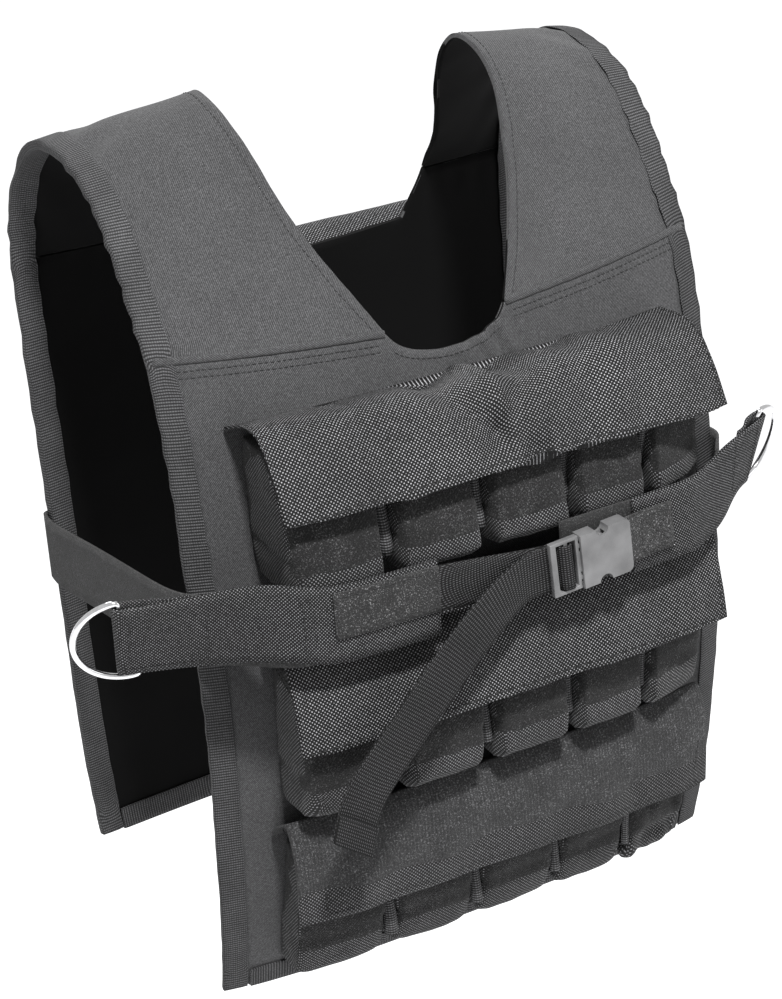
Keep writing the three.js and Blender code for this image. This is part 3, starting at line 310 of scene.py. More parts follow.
def thread_material():
    g = Graph("thread", 0.6)
    twist = g.noise(1600, 2)
    return g.finish(g.ramp(twist, (0.3, 0.03), (0.8, 0.12)), twist, 0.1 * MM, 0.5)


FLAP_BAND = 54 * MM  # from the top of the lowest flap's pattern down to its bare weave
CANVAS = canvas_material()
LINING = lining_material()
WEAVE = basket_material("basket_weave", 1.3 * MM, 0.010, 0.85)
STRAP_WEAVE = basket_material("strap_weave", 1.15 * MM, 0.010, 0.62)
BANDED = banded_flap_material()
POUCH = pouch_material()
LOOP = loop_material("fuzzy_loop")
PATCH = loop_material("fuzzy_patch", 0.022, 0.75)
TAPE = ribbed_material("edge_tape", 1.9 * MM, 0.035, 0.27)
TAIL = ribbed_material("ribbed_webbing", 2.2 * MM, 0.008, 0.27, dots=0.85)
CHROME = chrome_material()
PLASTIC = plastic_material()
THREAD = thread_material()
PLEAT = ribbed_material("pleat_tape", 1.7 * MM, 0.03, 0.4, along=1)


# Meshes
def cad_copy(node, name):
    """A copy of a node's mesh, welded and with its triangles joined in pairs."""
    source = nodes[node].data
    data = bpy.data.meshes.new(name)
    work = bmesh.new()
    work.from_mesh(source)
    bmesh.ops.remove_doubles(work, verts=work.verts, dist=1e-6)
    bmesh.ops.join_triangles(
        work,
        faces=work.faces,
        angle_face_threshold=math.radians(50),
        angle_shape_threshold=math.radians(75),
    )
    work.to_mesh(data)
    work.free()
    made = bpy.data.objects.new(name, data)
    bpy.context.scene.collection.objects.link(made)
    return made


def merge_caps(made):
    """The flat ends of a pouch become one face each."""
    work = bmesh.new()
    work.from_mesh(made.data)
    work.normal_update()
    for sign in (1, -1):
        caps = [f for f in work.faces if f.normal.z * sign > 0.8]
        if len(caps) > 1:
            bmesh.ops.dissolve_faces(work, faces=caps)
    work.to_mesh(made.data)
    work.free()


def mark_edges(made, angle, crease):
    """Edges sharper than the angle become seams of the flat pattern, with that much crease."""
    work = bmesh.new()
    work.from_mesh(made.data)
    layer = work.edges.layers.float.get("crease_edge") or work.edges.layers.float.new("crease_edge")
    for edge in work.edges:
        if len(edge.link_faces) == 2 and edge.calc_face_angle(0) > math.radians(angle):
            edge.seam = True
            edge[layer] = crease
    work.to_mesh(made.data)
    work.free()


def unwrap(made):
    bpy.ops.object.select_all(action="DESELECT")
    made.select_set(True)
    bpy.context.view_layer.objects.active = made
    made.data.uv_layers.new(name="cloth")
    bpy.ops.object.mode_set(mode="EDIT")
    bpy.ops.mesh.select_all(action="SELECT")
    bpy.ops.uv.unwrap(method="ANGLE_BASED", margin=0.01)
    bpy.ops.object.mode_set(mode="OBJECT")


def islands(data):
    """Each face's piece of the pattern, joined over edges that aren't seams, and their count."""
    work = bmesh.new()
    work.from_mesh(data)
    work.faces.ensure_lookup_table()
    group = [-1] * len(work.faces)
    count = 0
    for start in work.faces:
        if group[start.index] >= 0:
            continue
        stack = [start]
        group[start.index] = count
        while stack:
            face = stack.pop()
            for edge in face.edges:
                if edge.seam:
                    continue
                for other in edge.link_faces:
                    if group[other.index] < 0:
                        group[other.index] = count
                        stack.append(other)
        count += 1
    work.free()
    return group, count


def to_metres(made):
    """Turns and scales each piece of the flat pattern: u runs along X and v across it, both in
    metres from the piece's corner."""
    data = made.data
    group, count = islands(data)
    uv = np.zeros(len(data.loops) * 2)
    data.uv_layers["cloth"].data.foreach_get("uv", uv)
    uv = uv.reshape(-1, 2)
    co = np.zeros(len(data.vertices) * 3)
    data.vertices.foreach_get("co", co)
    co = co.reshape(-1, 3)
    areas = np.zeros(count)
    flats = np.zeros(count)
    members = [[] for _ in range(count)]
    for face in data.polygons:
        k = group[face.index]
        areas[k] += face.area
        p = uv[list(face.loop_indices)]
        x, y = p[:, 0], p[:, 1]
        flats[k] += abs(np.dot(x, np.roll(y, -1)) - np.dot(y, np.roll(x, -1))) / 2
        members[k] += list(face.loop_indices)
    loop_vertex = np.array([loop.vertex_index for loop in data.loops])
    for k in range(count):
        at = np.array(members[k])
        p = uv[at] - uv[at].mean(0)
        scale = math.sqrt(areas[k] / max(flats[k], 1e-12))
        here = co[loop_vertex[at]]
        target = here[:, 0]
        along = np.linalg.lstsq(p, target - target.mean(), rcond=None)[0]
        along = along / max(np.linalg.norm(along), 1e-9)
        across = np.array([-along[1], along[0]])
        flat = np.stack([p @ along, p @ across], 1) * scale
        if np.dot(flat[:, 1], here[:, 2] - here[:, 2].mean()) > 0:
            flat[:, 1] *= -1
        uv[at] = flat - flat.min(0)
    data.uv_layers["cloth"].data.foreach_set("uv", uv.ravel())


def strip_flat(made):
    """Flat coordinates of a strap: u runs along it face by face and v across it."""
    work = bmesh.new()
    work.from_mesh(made.data)
    layer = work.loops.layers.uv.new("cloth")
    done = set()

    def span(a, b):
        return (a.co - b.co).length

    def unfold(near, far, uv_near, uv_far, away):
        """Place the other corners of a face that is met over the edge near-far."""
        along = (uv_far - uv_near).normalized()
        edge = (far.vert.co - near.vert.co).normalized()
        near[layer].uv, far[layer].uv = uv_near, uv_far
        for loop in near.face.loops:
            if loop not in (near, far):
                reach = loop.vert.co - near.vert.co
                run = reach.dot(edge)
                loop[layer].uv = uv_near + along * run + away * (reach - edge * run).length

    for start in sorted(work.faces, key=lambda face: len(face.verts) != 4):
        if start.index in done:
            continue
        first = start.loops[0]
        length = span(first.vert, first.link_loop_next.vert)
        unfold(first, first.link_loop_next, Vector((0, 0)), Vector((length, 0)), Vector((0, 1)))
        done.add(start.index)
        group, queue = [start], [start]
        while queue:
            face = queue.pop(0)
            for loop in face.loops:
                other = loop.link_loop_radial_next
                if loop.edge.seam or other.face.index in done:
                    continue
                near, far = loop[layer].uv.copy(), loop.link_loop_next[layer].uv.copy()
                p, q = other, other.link_loop_next
                if len(other.face.verts) == 4 and len(face.verts) == 4:
                    away = (near - loop.link_loop_prev[layer].uv).normalized()
                    r, t = q.link_loop_next, other.link_loop_prev
                    step = (span(p.vert, t.vert) + span(q.vert, r.vert)) / 2
                    p[layer].uv, q[layer].uv = far, near
                    r[layer].uv, t[layer].uv = near + away * step, far + away * step
                else:
                    away = Vector((far - near).yx) * Vector((1, -1))
                    unfold(p, q, far, near, away.normalized())
                done.add(other.face.index)
                group.append(other.face)
                queue.append(other.face)
        places = np.array([list(loop[layer].uv) for face in group for loop in face.loops])
        low, high = places.min(0), places.max(0)
        turned = high[1] - low[1] > high[0] - low[0]
        for face in group:
            for loop in face.loops:
                u, v = loop[layer].uv
                u, v = u - low[0], v - low[1]
                loop[layer].uv = (v, u) if turned else (u, v)
    work.to_mesh(made.data)
    work.free()


def box_flat(made):
    """Flat coordinates of a box-like piece: each face seen straight on."""
    data = made.data
    layer = data.uv_layers.new(name="cloth").data
    for face in data.polygons:
        n = face.normal
        side = max(range(3), key=lambda k: abs(n[k]))
        pick = {0: (1, 2), 1: (0, 2), 2: (0, 1)}[side]
        for at in face.loop_indices:
            point = data.vertices[data.loops[at].vertex_index].co
            layer[at].uv = (point[pick[0]] + 1, point[pick[1]] + 1)


def refine(made, levels):
    """Subdivides the mesh for good."""
    step = made.modifiers.new("refine", "SUBSURF")
    step.levels = step.render_levels = levels
    bpy.context.view_layer.update()
    graph = bpy.context.evaluated_depsgraph_get()
    fine = bpy.data.meshes.new_from_object(made.evaluated_get(graph))
    made.modifiers.clear()
    made.data = fine
    fine.shade_smooth()


def points_of(data):
    co = np.zeros(len(data.vertices) * 3)
    data.vertices.foreach_get("co", co)
    return co.reshape(-1, 3)


def normals_of(data):
    n = np.zeros(len(data.vertices) * 3)
    data.vertices.foreach_get("normal", n)
    return n.reshape(-1, 3)


def push(made, outward, amount):
    """Moves the whole cloth wall by an amount, along its outer face's normal."""
    data = made.data
    co = points_of(data)
    n = normals_of(data)
    side = np.sign((n * outward(co)).sum(1))
    rim = np.abs((n * outward(co)).sum(1)) < 0.25
    side[rim] = 0
    co += n * (side * amount(co))[:, None]
    data.vertices.foreach_set("co", co.ravel())
    data.update()


def soft_noise(co, size, seed, octaves=3):
    """Smooth noise from crossing waves, about -1 to 1."""
    draw = np.random.default_rng(seed)
    total = np.zeros(len(co))
    weight = 0
    for octave in range(octaves):
        for _ in range(4):
            run = draw.normal(size=3)
            run /= np.linalg.norm(run)
            phase = draw.uniform(0, TAU)
            total += np.sin(co @ run * TAU / (size / 2**octave) + phase) / 2**octave
        weight += 2 / 2**octave
    return total / weight


def bell(x, centre, width):
    return np.exp(-(((x - centre) / width) ** 2))


def crease(co, a, b, width, depth):
    """A long fold between two points of the front plane, fading towards its ends."""
    ax, az, bx, bz = a[0] * MM, a[1] * MM, b[0] * MM, b[1] * MM
    dx, dz = bx - ax, bz - az
    length = math.hypot(dx, dz)
    t = ((co[:, 0] - ax) * dx + (co[:, 2] - az) * dz) / length**2
    off = ((co[:, 0] - ax) * dz - (co[:, 2] - az) * dx) / length
    fade = np.clip(1 - (2 * t - 1) ** 4, 0, 1) * (t > 0) * (t < 1)
    return depth * MM * fade * np.exp(-((off / (width * MM)) ** 2))


class Surface:
    """Finds the point of a piece's outer face for a place on its flat pattern."""

    def __init__(self, made, outward):
        data = made.data
        data.calc_loop_triangles()
        uv = data.uv_layers["cloth"].data
        self.corners, flat, tris = [], [], []
        for tri in data.loop_triangles:
            centre = sum((data.vertices[v].co for v in tri.vertices), Vector()) / 3
            ref = outward(np.array([centre]))[0]
            if tri.normal.dot(Vector(ref)) < 0.3:
                continue
            tris.append([len(flat) + k for k in range(3)])
            flat += [Vector((*uv[at].uv, 0)) for at in tri.loops]
            points = [data.vertices[v].co.copy() for v in tri.vertices]
            self.corners.append((points, tri.normal.copy()))
        self.flat, self.tris = flat, tris
        self.tree = BVHTree.FromPolygons(flat, tris)
        spread = np.array([list(p)[:2] for p in flat])
        self.low, self.high = spread.min(0), spread.max(0)

    def at(self, u, v, lift=0.0):
        spot, _, index, _ = self.tree.find_nearest(Vector((u, v, 0)))
        a, b, c = (self.flat[k] for k in self.tris[index])
        (p, q, r), normal = self.corners[index]
        whole = (b - a).cross(c - a).z
        if abs(whole) < 1e-14:
            return p + normal * lift, normal
        wb = (spot - a).cross(c - a).z / whole
        wc = (b - a).cross(spot - a).z / whole
        return p * (1 - wb - wc) + q * wb + r * wc + normal * lift, normal


def mesh_piece(name, verts, faces, materials, smooth=True):
    data = bpy.data.meshes.new(name)
    data.from_pydata([tuple(v) for v in verts], [], faces)
    data.validate()
    if smooth:
        data.shade_smooth()
    made = bpy.data.objects.new(name, data)
    bpy.context.scene.collection.objects.link(made)
    for material in materials:
        data.materials.append(material)
    return made


THREADS = {}


def stitch(row, places, length=2.6 * MM, gap=1.2 * MM, thick=0.34 * MM):
    """Stitches along a line of (point, normal) places: small rods that dip at their ends."""
    verts, faces = THREADS.setdefault(row, ([], []))
    line = [Vector(p) for p, _ in places]
    steps = [0.0]
    for a, b in zip(line, line[1:]):
        steps.append(steps[-1] + (b - a).length)

    def on(s):
        k = max(0, min(len(line) - 2, int(np.searchsorted(steps, s) - 1)))
        t = (s - steps[k]) / max(steps[k + 1] - steps[k], 1e-9)
        return line[k].lerp(line[k + 1], t), places[k][1]

    s = gap
    while s + length < steps[-1]:
        rings = []
        for share, rise, size in ((0, -0.3, 0.5), (0.25, 0.25, 1), (0.75, 0.25, 1), (1, -0.3, 0.5)):
            point, normal = on(s + share * length)
            ahead, _ = on(s + share * length + 0.2 * MM)
            along = (ahead - point).normalized()
            side = along.cross(normal).normalized()
            base = point + normal * thick * rise
            ring = []
            for k in range(5):
                turn = TAU * k / 5
                ring.append(base + (side * math.cos(turn) + normal * math.sin(turn)) * thick * size)
            rings.append(ring)
        start = len(verts)
        verts += [p for ring in rings for p in ring]
        for i in range(3):
            for k in range(5):
                a, b = start + i * 5 + k, start + i * 5 + (k + 1) % 5
                faces.append((a, b, b + 5, a + 5))
        faces.append(tuple(start + k for k in reversed(range(5))))
        faces.append(tuple(start + 15 + k for k in range(5)))
        s += length + gap


def stitch_flat(row, surface, points, lift=0.12 * MM):
    """A stitch line through places of a flat pattern."""
    places = []
    for (u0, v0), (u1, v1) in zip(points, points[1:]):
        count = max(2, int(math.hypot(u1 - u0, v1 - v0) / (4 * MM)))
        for k in range(count):
            t = k / count
            places.append(surface.at(u0 + (u1 - u0) * t, v0 + (v1 - v0) * t, lift))
    places.append(surface.at(*points[-1], lift))
    stitch(row, places)


def paint(made, material):
    """Makes this the piece's only material."""
    made.data.materials.clear()
    made.data.materials.append(material)


def dress(made, node, material=None):
    """Lets a piece stand for a node and ride on its body, in this material if one is given."""
    if material:
        paint(made, material)
    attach(made, BODY.get(node, "vest"))
    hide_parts(node)
    return made


# Outward directions of the shell's parts
def facing(y):
    return lambda co: np.tile(np.array([0.0, y, 0.0]), (len(co), 1))


def from_line(y, z):
    """Away from a line along X."""
    return lambda co: np.stack([np.zeros(len(co)), co[:, 1] - y, co[:, 2] - z], 1) / 0.05


def over_shoulder(co):
    return np.stack([np.zeros(len(co)), co[:, 1] / 0.1, np.maximum(co[:, 2] + 0.125, 0) / 0.06], 1)


def paint_inner(made, outward, material):
    """The faces that look towards the wearer get the lining."""
    data = made.data
    data.materials.append(material)
    index = len(data.materials) - 1
    centres = np.array([list(f.center) for f in data.polygons])
    for face, ref in zip(data.polygons, outward(centres)):
        if Vector(ref).dot(face.normal) < -0.05:
            face.material_index = index


def cloth_wall(node, outward, amount, sharp=45):
    """A node's wall as cloth: laid flat for its pattern, refined and given its folds."""
    made = cad_copy(node, node + "_cloth")
    mark_edges(made, sharp, 1.0)
    unwrap(made)
    to_metres(made)
    refine(made, 3)
    push(made, outward, amount)
    return made


# Panels and shoulder straps
def front_shape(co):
    x, z = co[:, 0], co[:, 2]
    amount = 0.5 * MM * soft_noise(co, 0.09, 3)
    beside_neck = bell(x, 0.034, 0.02) * bell(z, -0.158, 0.014)
    amount += 1.5 * MM * beside_neck * np.sin((x * 0.8 + z * 0.35) * TAU / 0.012)
    under_seam = bell(z, -0.137, 0.01) * (np.abs(x) > 0.045)
    amount += 0.45 * MM * under_seam * np.sin(x * TAU / 0.017)
    amount += crease(co, (-60, -150), (-150, -196), 9, 0.9)
    amount += crease(co, (-30, -152), (20, -172), 6, -1.1)
    return amount


def back_shape(co):
    return 0.7 * MM * soft_noise(co, 0.1, 5) + 0.4 * MM * np.sin(co[:, 0] * TAU / 0.019) * bell(
        co[:, 2], -0.13, 0.012
    )


def shoulder_shape(co):
    x, y, z = np.abs(co[:, 0]), co[:, 1], co[:, 2]
    amount = 0.5 * MM * soft_noise(co, 0.07, 8)
    amount += 0.9 * MM * np.sin((y + 0.4 * x) * TAU / 0.03) * bell(x, 0.165, 0.016)
    amount += 0.7 * MM * bell(x, 0.11, 0.02) * np.sin(z * TAU / 0.06)
    return amount


def lined(node, outward, shape):
    """A canvas wall with the lining on the wearer's side."""
    made = cloth_wall(node, outward, shape)
    paint(made, CANVAS)
    paint_inner(made, outward, LINING)
    return dress(made, node)


front = lined("front_panel", facing(-1), front_shape)
back = lined("back_panel", facing(1), back_shape)
shoulders = [
    lined(f"shoulder_{label}", over_shoulder, shoulder_shape) for label in ("left", "right")
]


# Edge tape, with the small waves it takes along the armholes
def tape_shape(co):
    along = co[:, 2] + 0.6 * co[:, 1]
    waves = np.sin(along * TAU / 0.021) + 0.6 * np.sin(along * TAU / 0.0125 + 1.3)
    high = np.clip((co[:, 2] + 0.5) / 0.3, 0.25, 1)
    return 0.55 * MM * waves * high + 0.3 * MM * soft_noise(co, 0.03, 12)


def tape_shift(made):
    """Moves the whole tape sideways a little, so that its edge isn't a ruled line."""
    data = made.data
    co = points_of(data)
    shift = tape_shape(co)
    co[:, 0] += np.sign(co[:, 0]) * shift
    data.vertices.foreach_set("co", co.ravel())
    data.update()


for node in ("side_binding_left", "side_binding_right", "front_hem_binding", "back_hem_binding"):
    made = cad_copy(node, node + "_tape")
    mark_edges(made, 60, 0.75)
    strip_flat(made)
    refine(made, 2)
    if "side" in node:
        tape_shift(made)
    dress(made, node, TAPE)


# Flaps
def flap_centre(node):
    """The directions out of a flap's curve, and the side of the vest that it is on."""
    low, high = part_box(node)
    side = -1 if high.y < 0 else 1
    inner = high.y if side < 0 else low.y
    return from_line(inner + side * 0.018, low.z + 0.012), side


# Long folds of the front flaps: from (x, z), to (x, z), half width and depth, in millimetres
FLAP_CREASES = {
    1: [
        ((-50, -140), (26, -204), 9, -7.0),
        ((40, -138), (-24, -196), 8, -6.0),
        ((-4, -140), (6, -200), 6, 3.6),
        ((66, -140), (44, -208), 10, -3.2),
        ((88, -150), (70, -206), 9, 2.0),
        ((-120, -160), (-64, -202), 11, 2.4),
        ((-96, -145), (-80, -202), 8, -2.2),
    ],
    2: [
        ((40, -300), (70, -352), 8, 1.6),
        ((-90, -296), (-60, -352), 8, -1.6),
        ((96, -300), (112, -352), 7, -1.3),
    ],
    3: [
        ((70, -430), (100, -485), 8, -2.0),
        ((-70, -424), (-58, -470), 7, -1.4),
        ((20, -425), (6, -485), 7, -1.1),
    ],
}


def flap_shape(row, side):
    def amount(co):
        x, z = co[:, 0], co[:, 2]
        value = 0.8 * MM * soft_noise(co, 0.085, 20 + row * 3 + side)
        if side < 0 and row == 3:
            value += 1.1 * MM * np.sin(x * TAU / 0.061) * bell(z, -0.47, 0.02)
        if side < 0:
            for start, end, width, depth in FLAP_CREASES[row]:
                value += crease(co, start, end, width, depth)
        return value

    return amount


def cut_size(made, outward):
    """Builds the lookup of a wall's outer face on its flat pattern; the result is not kept."""
    cloth = Surface(made, outward)


cut_size(front, facing(-1))
cut_size(back, facing(1))
for made in shoulders:
    cut_size(made, over_shoulder)
flaps = {}
for side_name in ("front", "back"):
    for row in (1, 2, 3):
        node = f"{side_name}_flap_{row}"
        outward, side = flap_centre(node)
        made = cloth_wall(node, outward, flap_shape(row, side), sharp=60)
        dress(made, node, BANDED if row == 3 else WEAVE)
        flaps[node] = (made, outward)
        cut_size(made, outward)


# Pouches
def pouch_shape(node, seed):
    """A pouch's outward directions, and the amount that its cloth is pushed along them."""
    low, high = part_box(node)
    centre = (low + high) / 2
    height = high.z - low.z

    def amount(co):
        up = (co[:, 2] - low.z) / height
        value = 0.9 * MM * soft_noise(co + seed * 0.37, 0.05, seed)
        value -= 0.8 * MM * bell(up, 0.3, 0.035)
        value += 0.7 * MM * bell(up, 0.36, 0.05)
        if node == "front_pouch_3_5":
            value += 2.4 * MM * soft_noise(co, 0.026, 77, 2)
        return value

    return lambda co: (co - np.array(centre)) / 0.03, amount


for side_name in ("front", "back"):
    for row in (1, 2, 3):
        for column in range(1, 6):
            node = f"{side_name}_pouch_{row}_{column}"
            made = cad_copy(node, node + "_bag")
            merge_caps(made)
            mark_edges(made, 38, 0.85)
            box_flat(made)
            refine(made, 3)
            seed = row * 7 + column + (40 if side_name == "back" else 0)
            outward, amount = pouch_shape(node, seed)
            push(made, outward, amount)
            dress(made, node, POUCH)

# Straps and webbing
STRAPS = {
    "side_strap_left": LOOP,
    "side_strap_right": LOOP,
    "ring_strap_left": STRAP_WEAVE,
    "ring_strap_right": STRAP_WEAVE,
    "buckle_strap_left": TAIL,
    "buckle_strap_right": LOOP,
}
straps = {}
for node, material in STRAPS.items():
    made = cad_copy(node, node + "_webbing")
    mark_edges(made, 60, 1.0)
    strip_flat(made)
    refine(made, 3)
    straps[node] = dress(made, node, material)

# Rings and buckle
WIRE_GROWTH = 0.26 * MM  # what refining takes off the wire's radius
BUCKLE_ROUNDING = 0.55 * MM
for node in ("ring_left", "ring_right"):
    made = cad_copy(node, node + "_wire")
    box_flat(made)
    refine(made, 2)
    data = made.data
    co = points_of(data) + normals_of(data) * WIRE_GROWTH
    data.vertices.foreach_set("co", co.ravel())
    dress(made, node, CHROME)
for node in ("buckle_female", "buckle_male"):
    made = cad_copy(node, node + "_moulding")
    box_flat(made)
    edge = made.modifiers.new("edges", "BEVEL")
    edge.width = BUCKLE_ROUNDING
    edge.segments = 3
    edge.limit_method = "ANGLE"
    edge.angle_limit = math.radians(35)
    dress(made, node, PLASTIC)
    made.data.shade_smooth()


# Both buckle webbings are fuzzy where they are sewn on their straps
def paint_where(made, material, test):
    """The faces whose centre passes the test get the material."""
    made.data.materials.append(material)
    index = len(made.data.materials) - 1
    for face in made.data.polygons:
        if test(face.center):
            face.material_index = index


paint_where(straps["buckle_strap_left"], PATCH, lambda c: c.x < -0.0615 and c.z > -0.2785)
paint_where(straps["buckle_strap_right"], PATCH, lambda c: c.x > 0.0665)


# Seams: a folded lip over each yoke seam
def tree_of(made):
    co = [v.co.copy() for v in made.data.vertices]
    return BVHTree.FromPolygons(co, [tuple(f.vertices) for f in made.data.polygons])


def cast(tree, x, z, side, lift=0.0):
    """The point of a piece at that place, seen from the front or the back, in millimetres."""
    hit = tree.ray_cast(Vector((x * MM, side * 0.5, z * MM)), Vector((0, -side, 0)))
    if hit[0] is None:
        return None
    normal = hit[1] if hit[1].y * side > 0 else -hit[1]
    return hit[0] + normal * lift, normal


def rod(name, places, wide, high, material):
    """A flattened bead along a line of (point, normal) places."""
    verts, faces = [], []
    count = 10
    for i, (point, normal) in enumerate(places):
        ahead = places[min(i + 1, len(places) - 1)][0] - places[max(i - 1, 0)][0]
        side = ahead.normalized().cross(normal).normalized()
        for k in range(count):
            turn = TAU * k / count
            verts.append(point + side * math.cos(turn) * wide + normal * math.sin(turn) * high)
    for i in range(len(places) - 1):
        for k in range(count):
            a, b = i * count + k, i * count + (k + 1) % count
            faces.append((a, b, b + count, a + count))
    faces.append(tuple(reversed(range(count))))
    faces.append(tuple(range(len(verts) - count, len(verts))))
    made = mesh_piece(name, verts, faces, [material])
    box_flat(made)
    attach(made, "vest")
    return made


# The yoke seams, in millimetres: their ends along X, and the back one's height
SEAM_FROM, SEAM_TO = 42.6, 186
BACK_SEAM_FROM, BACK_SEAM_Z = 114, -115
BEAD_WIDE, BEAD_HIGH = 2.3 * MM, 0.9 * MM


def front_seam_z(x):
    share = (abs(x) - 42) / 146
    return 3 - (128 + 6 * (1 - 2 * share))


def back_seam_z(x):
    return BACK_SEAM_Z


def seam_bead(name, tree, side, ends, steps, height):
    """A folded lip along a seam, cast on the panel just below it."""
    places = []
    for k in range(steps + 1):
        x = ends[0] + (ends[1] - ends[0]) * k / steps
        point, normal = cast(tree, x, height(x) - 2.4, side)
        places.append((point + Vector((0, 0, BEAD_WIDE)) - normal * 0.2 * MM, normal))
    rod(name, places, BEAD_WIDE, BEAD_HIGH, CANVAS)


trees = {"front": tree_of(front), "back": tree_of(back)}
for sign, label in ((-1, "left"), (1, "right")):
    ends = (sign * SEAM_FROM, sign * SEAM_TO)
    seam_bead(f"yoke_seam_{label}", trees["front"], -1, ends, 36, front_seam_z)
    ends = (sign * BACK_SEAM_FROM, sign * SEAM_TO)
    seam_bead(f"back_seam_{label}", trees["back"], 1, ends, 24, back_seam_z)


# Pleats: a ribbed fold of tape stands in each gap between two pouches
def pleat_row(side_name, row):
    side = -1 if side_name == "front" else 1
    verts, faces = [], []
    count, rows = 9, 14
    for column in range(1, 5):
        a_low, a_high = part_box(f"{side_name}_pouch_{row}_{column}")
        b_low, b_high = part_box(f"{side_name}_pouch_{row}_{column + 1}")
        x = (a_high.x + b_low.x) / 2
        half = max((b_low.x - a_high.x) / 2 - 0.4 * MM, 1.5 * MM)
        wall, face = (a_high.y, a_low.y) if side < 0 else (a_low.y, a_high.y)
        start = len(verts)
        for i in range(rows + 1):
            t = i / rows
            z = a_low.z + 3 * MM + (a_high.z - a_low.z - 12 * MM) * t
            reach = 0.8 + 0.06 * math.sin(5 * t + column) - 0.3 * (t < 0.08)
            front_y = wall + (face - wall) * reach
            for k in range(count):
                turn = math.pi * k / (count - 1)
                y = front_y - side * half * (1 - math.sin(turn)) * 1.2
                verts.append((x - half * math.cos(turn), y, z))
        for i in range(rows):
            for k in range(count - 1):
                a = start + i * count + k
                faces.append((a, a + 1, a + count + 1, a + count))
    made = mesh_piece(f"{side_name}_pleats_{row}", verts, faces, [PLEAT])
    box_flat(made)
    thick = made.modifiers.new("wall", "SOLIDIFY")
    thick.thickness = 1.0 * MM
    thick.offset = 0
    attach(made, "vest")


for side_name in ("front", "back"):
    for row in (1, 2, 3):
        pleat_row(side_name, row)


# Stitching
def stitch_cast(row, tree, points, side=-1):
    """A stitch line through points (x, z) of the front or back, in millimetres."""
    places = []
    for (x0, z0), (x1, z1) in zip(points, points[1:]):
        count = max(2, int(math.hypot(x1 - x0, z1 - z0) / 4))
        for k in range(count + 1):
            t = k / count
            place = cast(tree, x0 + (x1 - x0) * t, z0 + (z1 - z0) * t, side, 0.15 * MM)
            if place:
                places.append(place)
    if len(places) > 1:
        stitch(row, places)


for off in (6.5, 10.5):
    for sign in (-1, 1):
        along = [46 + 140 * k / 10 for k in range(11)]
        line = [(sign * x, front_seam_z(x) - off) for x in along]
        stitch_cast("yoke_stitches", trees["front"], line)
        line = [(sign * x, BACK_SEAM_Z - off) for x in (116, 184)]
        stitch_cast("yoke_stitches", trees["back"], line, 1)
scoop = []
for k in range(25):
    x = -39 + 78 * k / 24
    scoop.append((x, 3 - (134 + 17 * math.sqrt(1 - (x / 42) ** 2)) - 5))
stitch_cast("yoke_stitches", trees["front"], scoop)

# Along the neck edge of a shoulder strap, front to back, in millimetres
NECK_LINE = [
    (48, -127, -128), (63, -111, -104), (79, -88, -70), (88, -70, -44), (93, -54, -22),
    (97, -28, -5), (97, 2, -1), (96, 23, -20), (104, 43, -53), (112, 64, -87), (117, 80, -110),
]
for shoulder, sign in zip(shoulders, (-1, 1)):
    tree = tree_of(shoulder)
    places = []
    for a, b in zip(NECK_LINE, NECK_LINE[1:]):
        for k in range(8):
            p = Vector(a).lerp(Vector(b), k / 8) * MM
            p.x = sign * (p.x + 0.001)
            out = Vector((0, p.y / 0.1, max(p.z + 0.125, 0) / 0.06)).normalized()
            hit = tree.ray_cast(p + out * 0.02, -out)
            if hit[0] is not None:
                places.append((hit[0] + out * 0.15 * MM, out))
    stitch("yoke_stitches", places)

for node, (made, outward) in flaps.items():
    face = Surface(made, outward)
    (u0, v0), (u1, v1) = face.low, face.high
    stitch_flat("flap_stitches", face, [(u0 + 4 * MM, v1 - 5 * MM), (u1 - 4 * MM, v1 - 5 * MM)])
    for u in (u0 + 4 * MM, u1 - 4 * MM):
        stitch_flat("flap_stitches", face, [(u, v0 + 12 * MM), (u, v1 - 5 * MM)])


def overlay(name, face, u0, u1, v0, v1, lift, slot, material, across=14):
    """A thin layer of cloth that follows a piece's outer face over part of its flat pattern."""
    steps = max(2, int((u1 - u0) / (v1 - v0) * across))
    verts, faces = [], []
    for i in range(steps + 1):
        for k in range(across + 1):
            u = u0 + (u1 - u0) * i / steps
            v = v0 + (v1 - v0) * k / across
            verts.append(face.at(u, v, lift)[0])
    for i in range(steps):
        for k in range(across):
            a = i * (across + 1) + k
            faces.append((a, a + 1, a + across + 2, a + across + 1))
    made = mesh_piece(name, verts, faces, [material])
    layer = made.data.uv_layers.new(name="cloth").data
    for polygon in made.data.polygons:
        for at in polygon.loop_indices:
            i, k = divmod(made.data.loops[at].vertex_index, across + 1)
            layer[at].uv = (u0 + (u1 - u0) * i / steps, v0 + (v1 - v0) * k / across)
    wall = made.modifiers.new("wall", "SOLIDIFY")
    wall.thickness = 0.9 * MM
    wall.offset = 0
    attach(made, "vest")
    return made


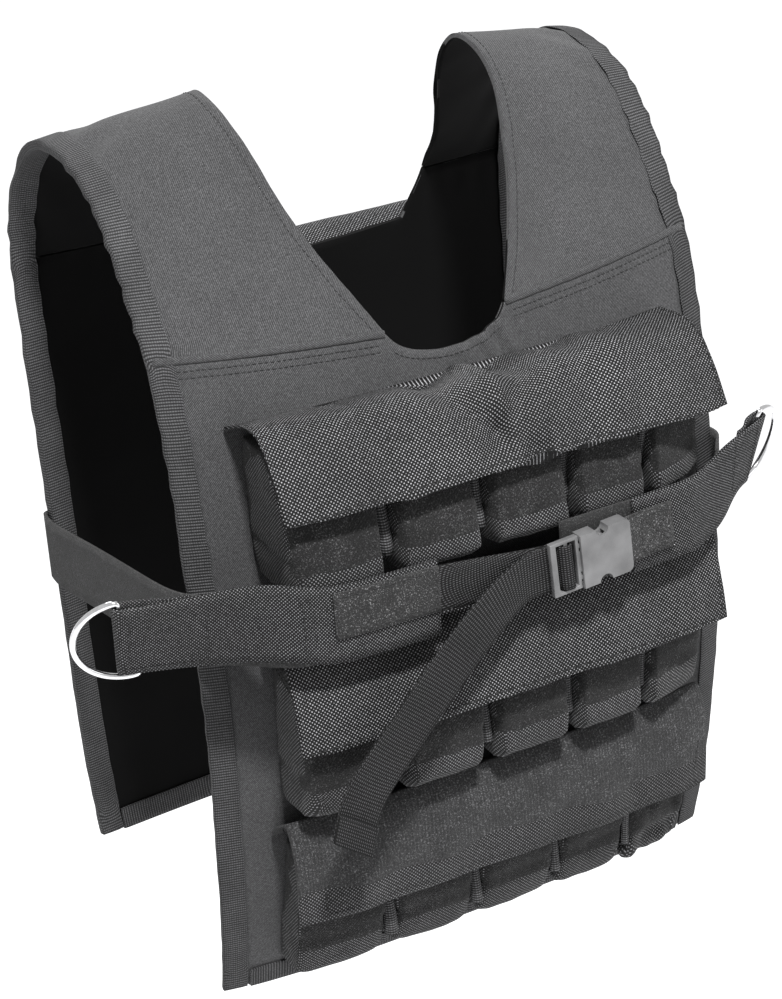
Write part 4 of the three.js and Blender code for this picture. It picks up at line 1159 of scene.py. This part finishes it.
def stitched_box(node, x0, x1, z0, z1, cross=False):
    """A sewn rectangle on a strap, with its diagonals where the photo shows them."""
    tree = tree_of(straps[node])
    corners = [(x0, z0), (x1, z0), (x1, z1), (x0, z1)]
    for k in range(4):
        stitch_cast("strap_stitches", tree, [corners[k], corners[(k + 1) % 4]])
    if cross:
        stitch_cast("strap_stitches", tree, [corners[0], corners[2]])
        stitch_cast("strap_stitches", tree, [corners[1], corners[3]])


TAIL_LOWER_Z = -0.33  # only the tail of the webbing reaches below this height
HEM_LENGTHS = (21 * MM, 19 * MM)


def below_tail_line(co):
    """Towards the front, for the lower stretch of the tail only."""
    return np.array([[0, -1 if place[2] < TAIL_LOWER_Z else 0, 0] for place in co])


tail = Surface(straps["buckle_strap_left"], below_tail_line)
(low_u, low_v), (high_u, high_v) = tail.low, tail.high
ends = [tail.at(u, (low_v + high_v) / 2)[0].z for u in (low_u, high_u)]
hem_end, inward = (low_u, 1) if ends[0] < ends[1] else (high_u, -1)
for layer, length in enumerate(HEM_LENGTHS, 1):
    edges = sorted((hem_end + inward * 0.4 * MM, hem_end + inward * length))
    sides = (low_v + 0.3 * MM, high_v - 0.3 * MM)
    overlay(f"tail_hem_{layer}", tail, *edges, *sides, (layer - 0.3) * MM, "webbing", TAIL)
stitched_box("buckle_strap_left", -129, -64, -273, -249)
stitched_box("buckle_strap_right", 79, 104, -279, -255, cross=True)
stitched_box("ring_strap_left", -246, -203, -277, -237)
stitched_box("ring_strap_left", -149, -144, -290, -247)
stitched_box("ring_strap_right", 168, 190, -275, -234)
for row, (verts, faces) in THREADS.items():
    made = mesh_piece(row, verts, faces, [THREAD])
    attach(made, "vest")


# Floor, far enough below that no shadow shows
FLOOR_DROP, FLOOR_REACH = 1.5, 20
floor_z = cad_box[0][2] - FLOOR_DROP
floor = mesh_piece(
    "floor",
    [(x * FLOOR_REACH, y * FLOOR_REACH, floor_z) for x, y in ((-1, -1), (1, -1), (1, 1), (-1, 1))],
    [(0, 1, 2, 3)],
    [],
    False,
)
g = Graph("pale_floor", 0.9)
grain = g.noise(3, 2)
pale = g.ramp(grain, (0.3, 0.86), (0.7, 0.88), dye=1)
floor.data.materials.append(g.finish(pale, grain, 0.01 * MM, 0.1))
g.shader.inputs["Emission Color"].default_value = (1, 1, 1, 1)
g.shader.inputs["Emission Strength"].default_value = 0.5
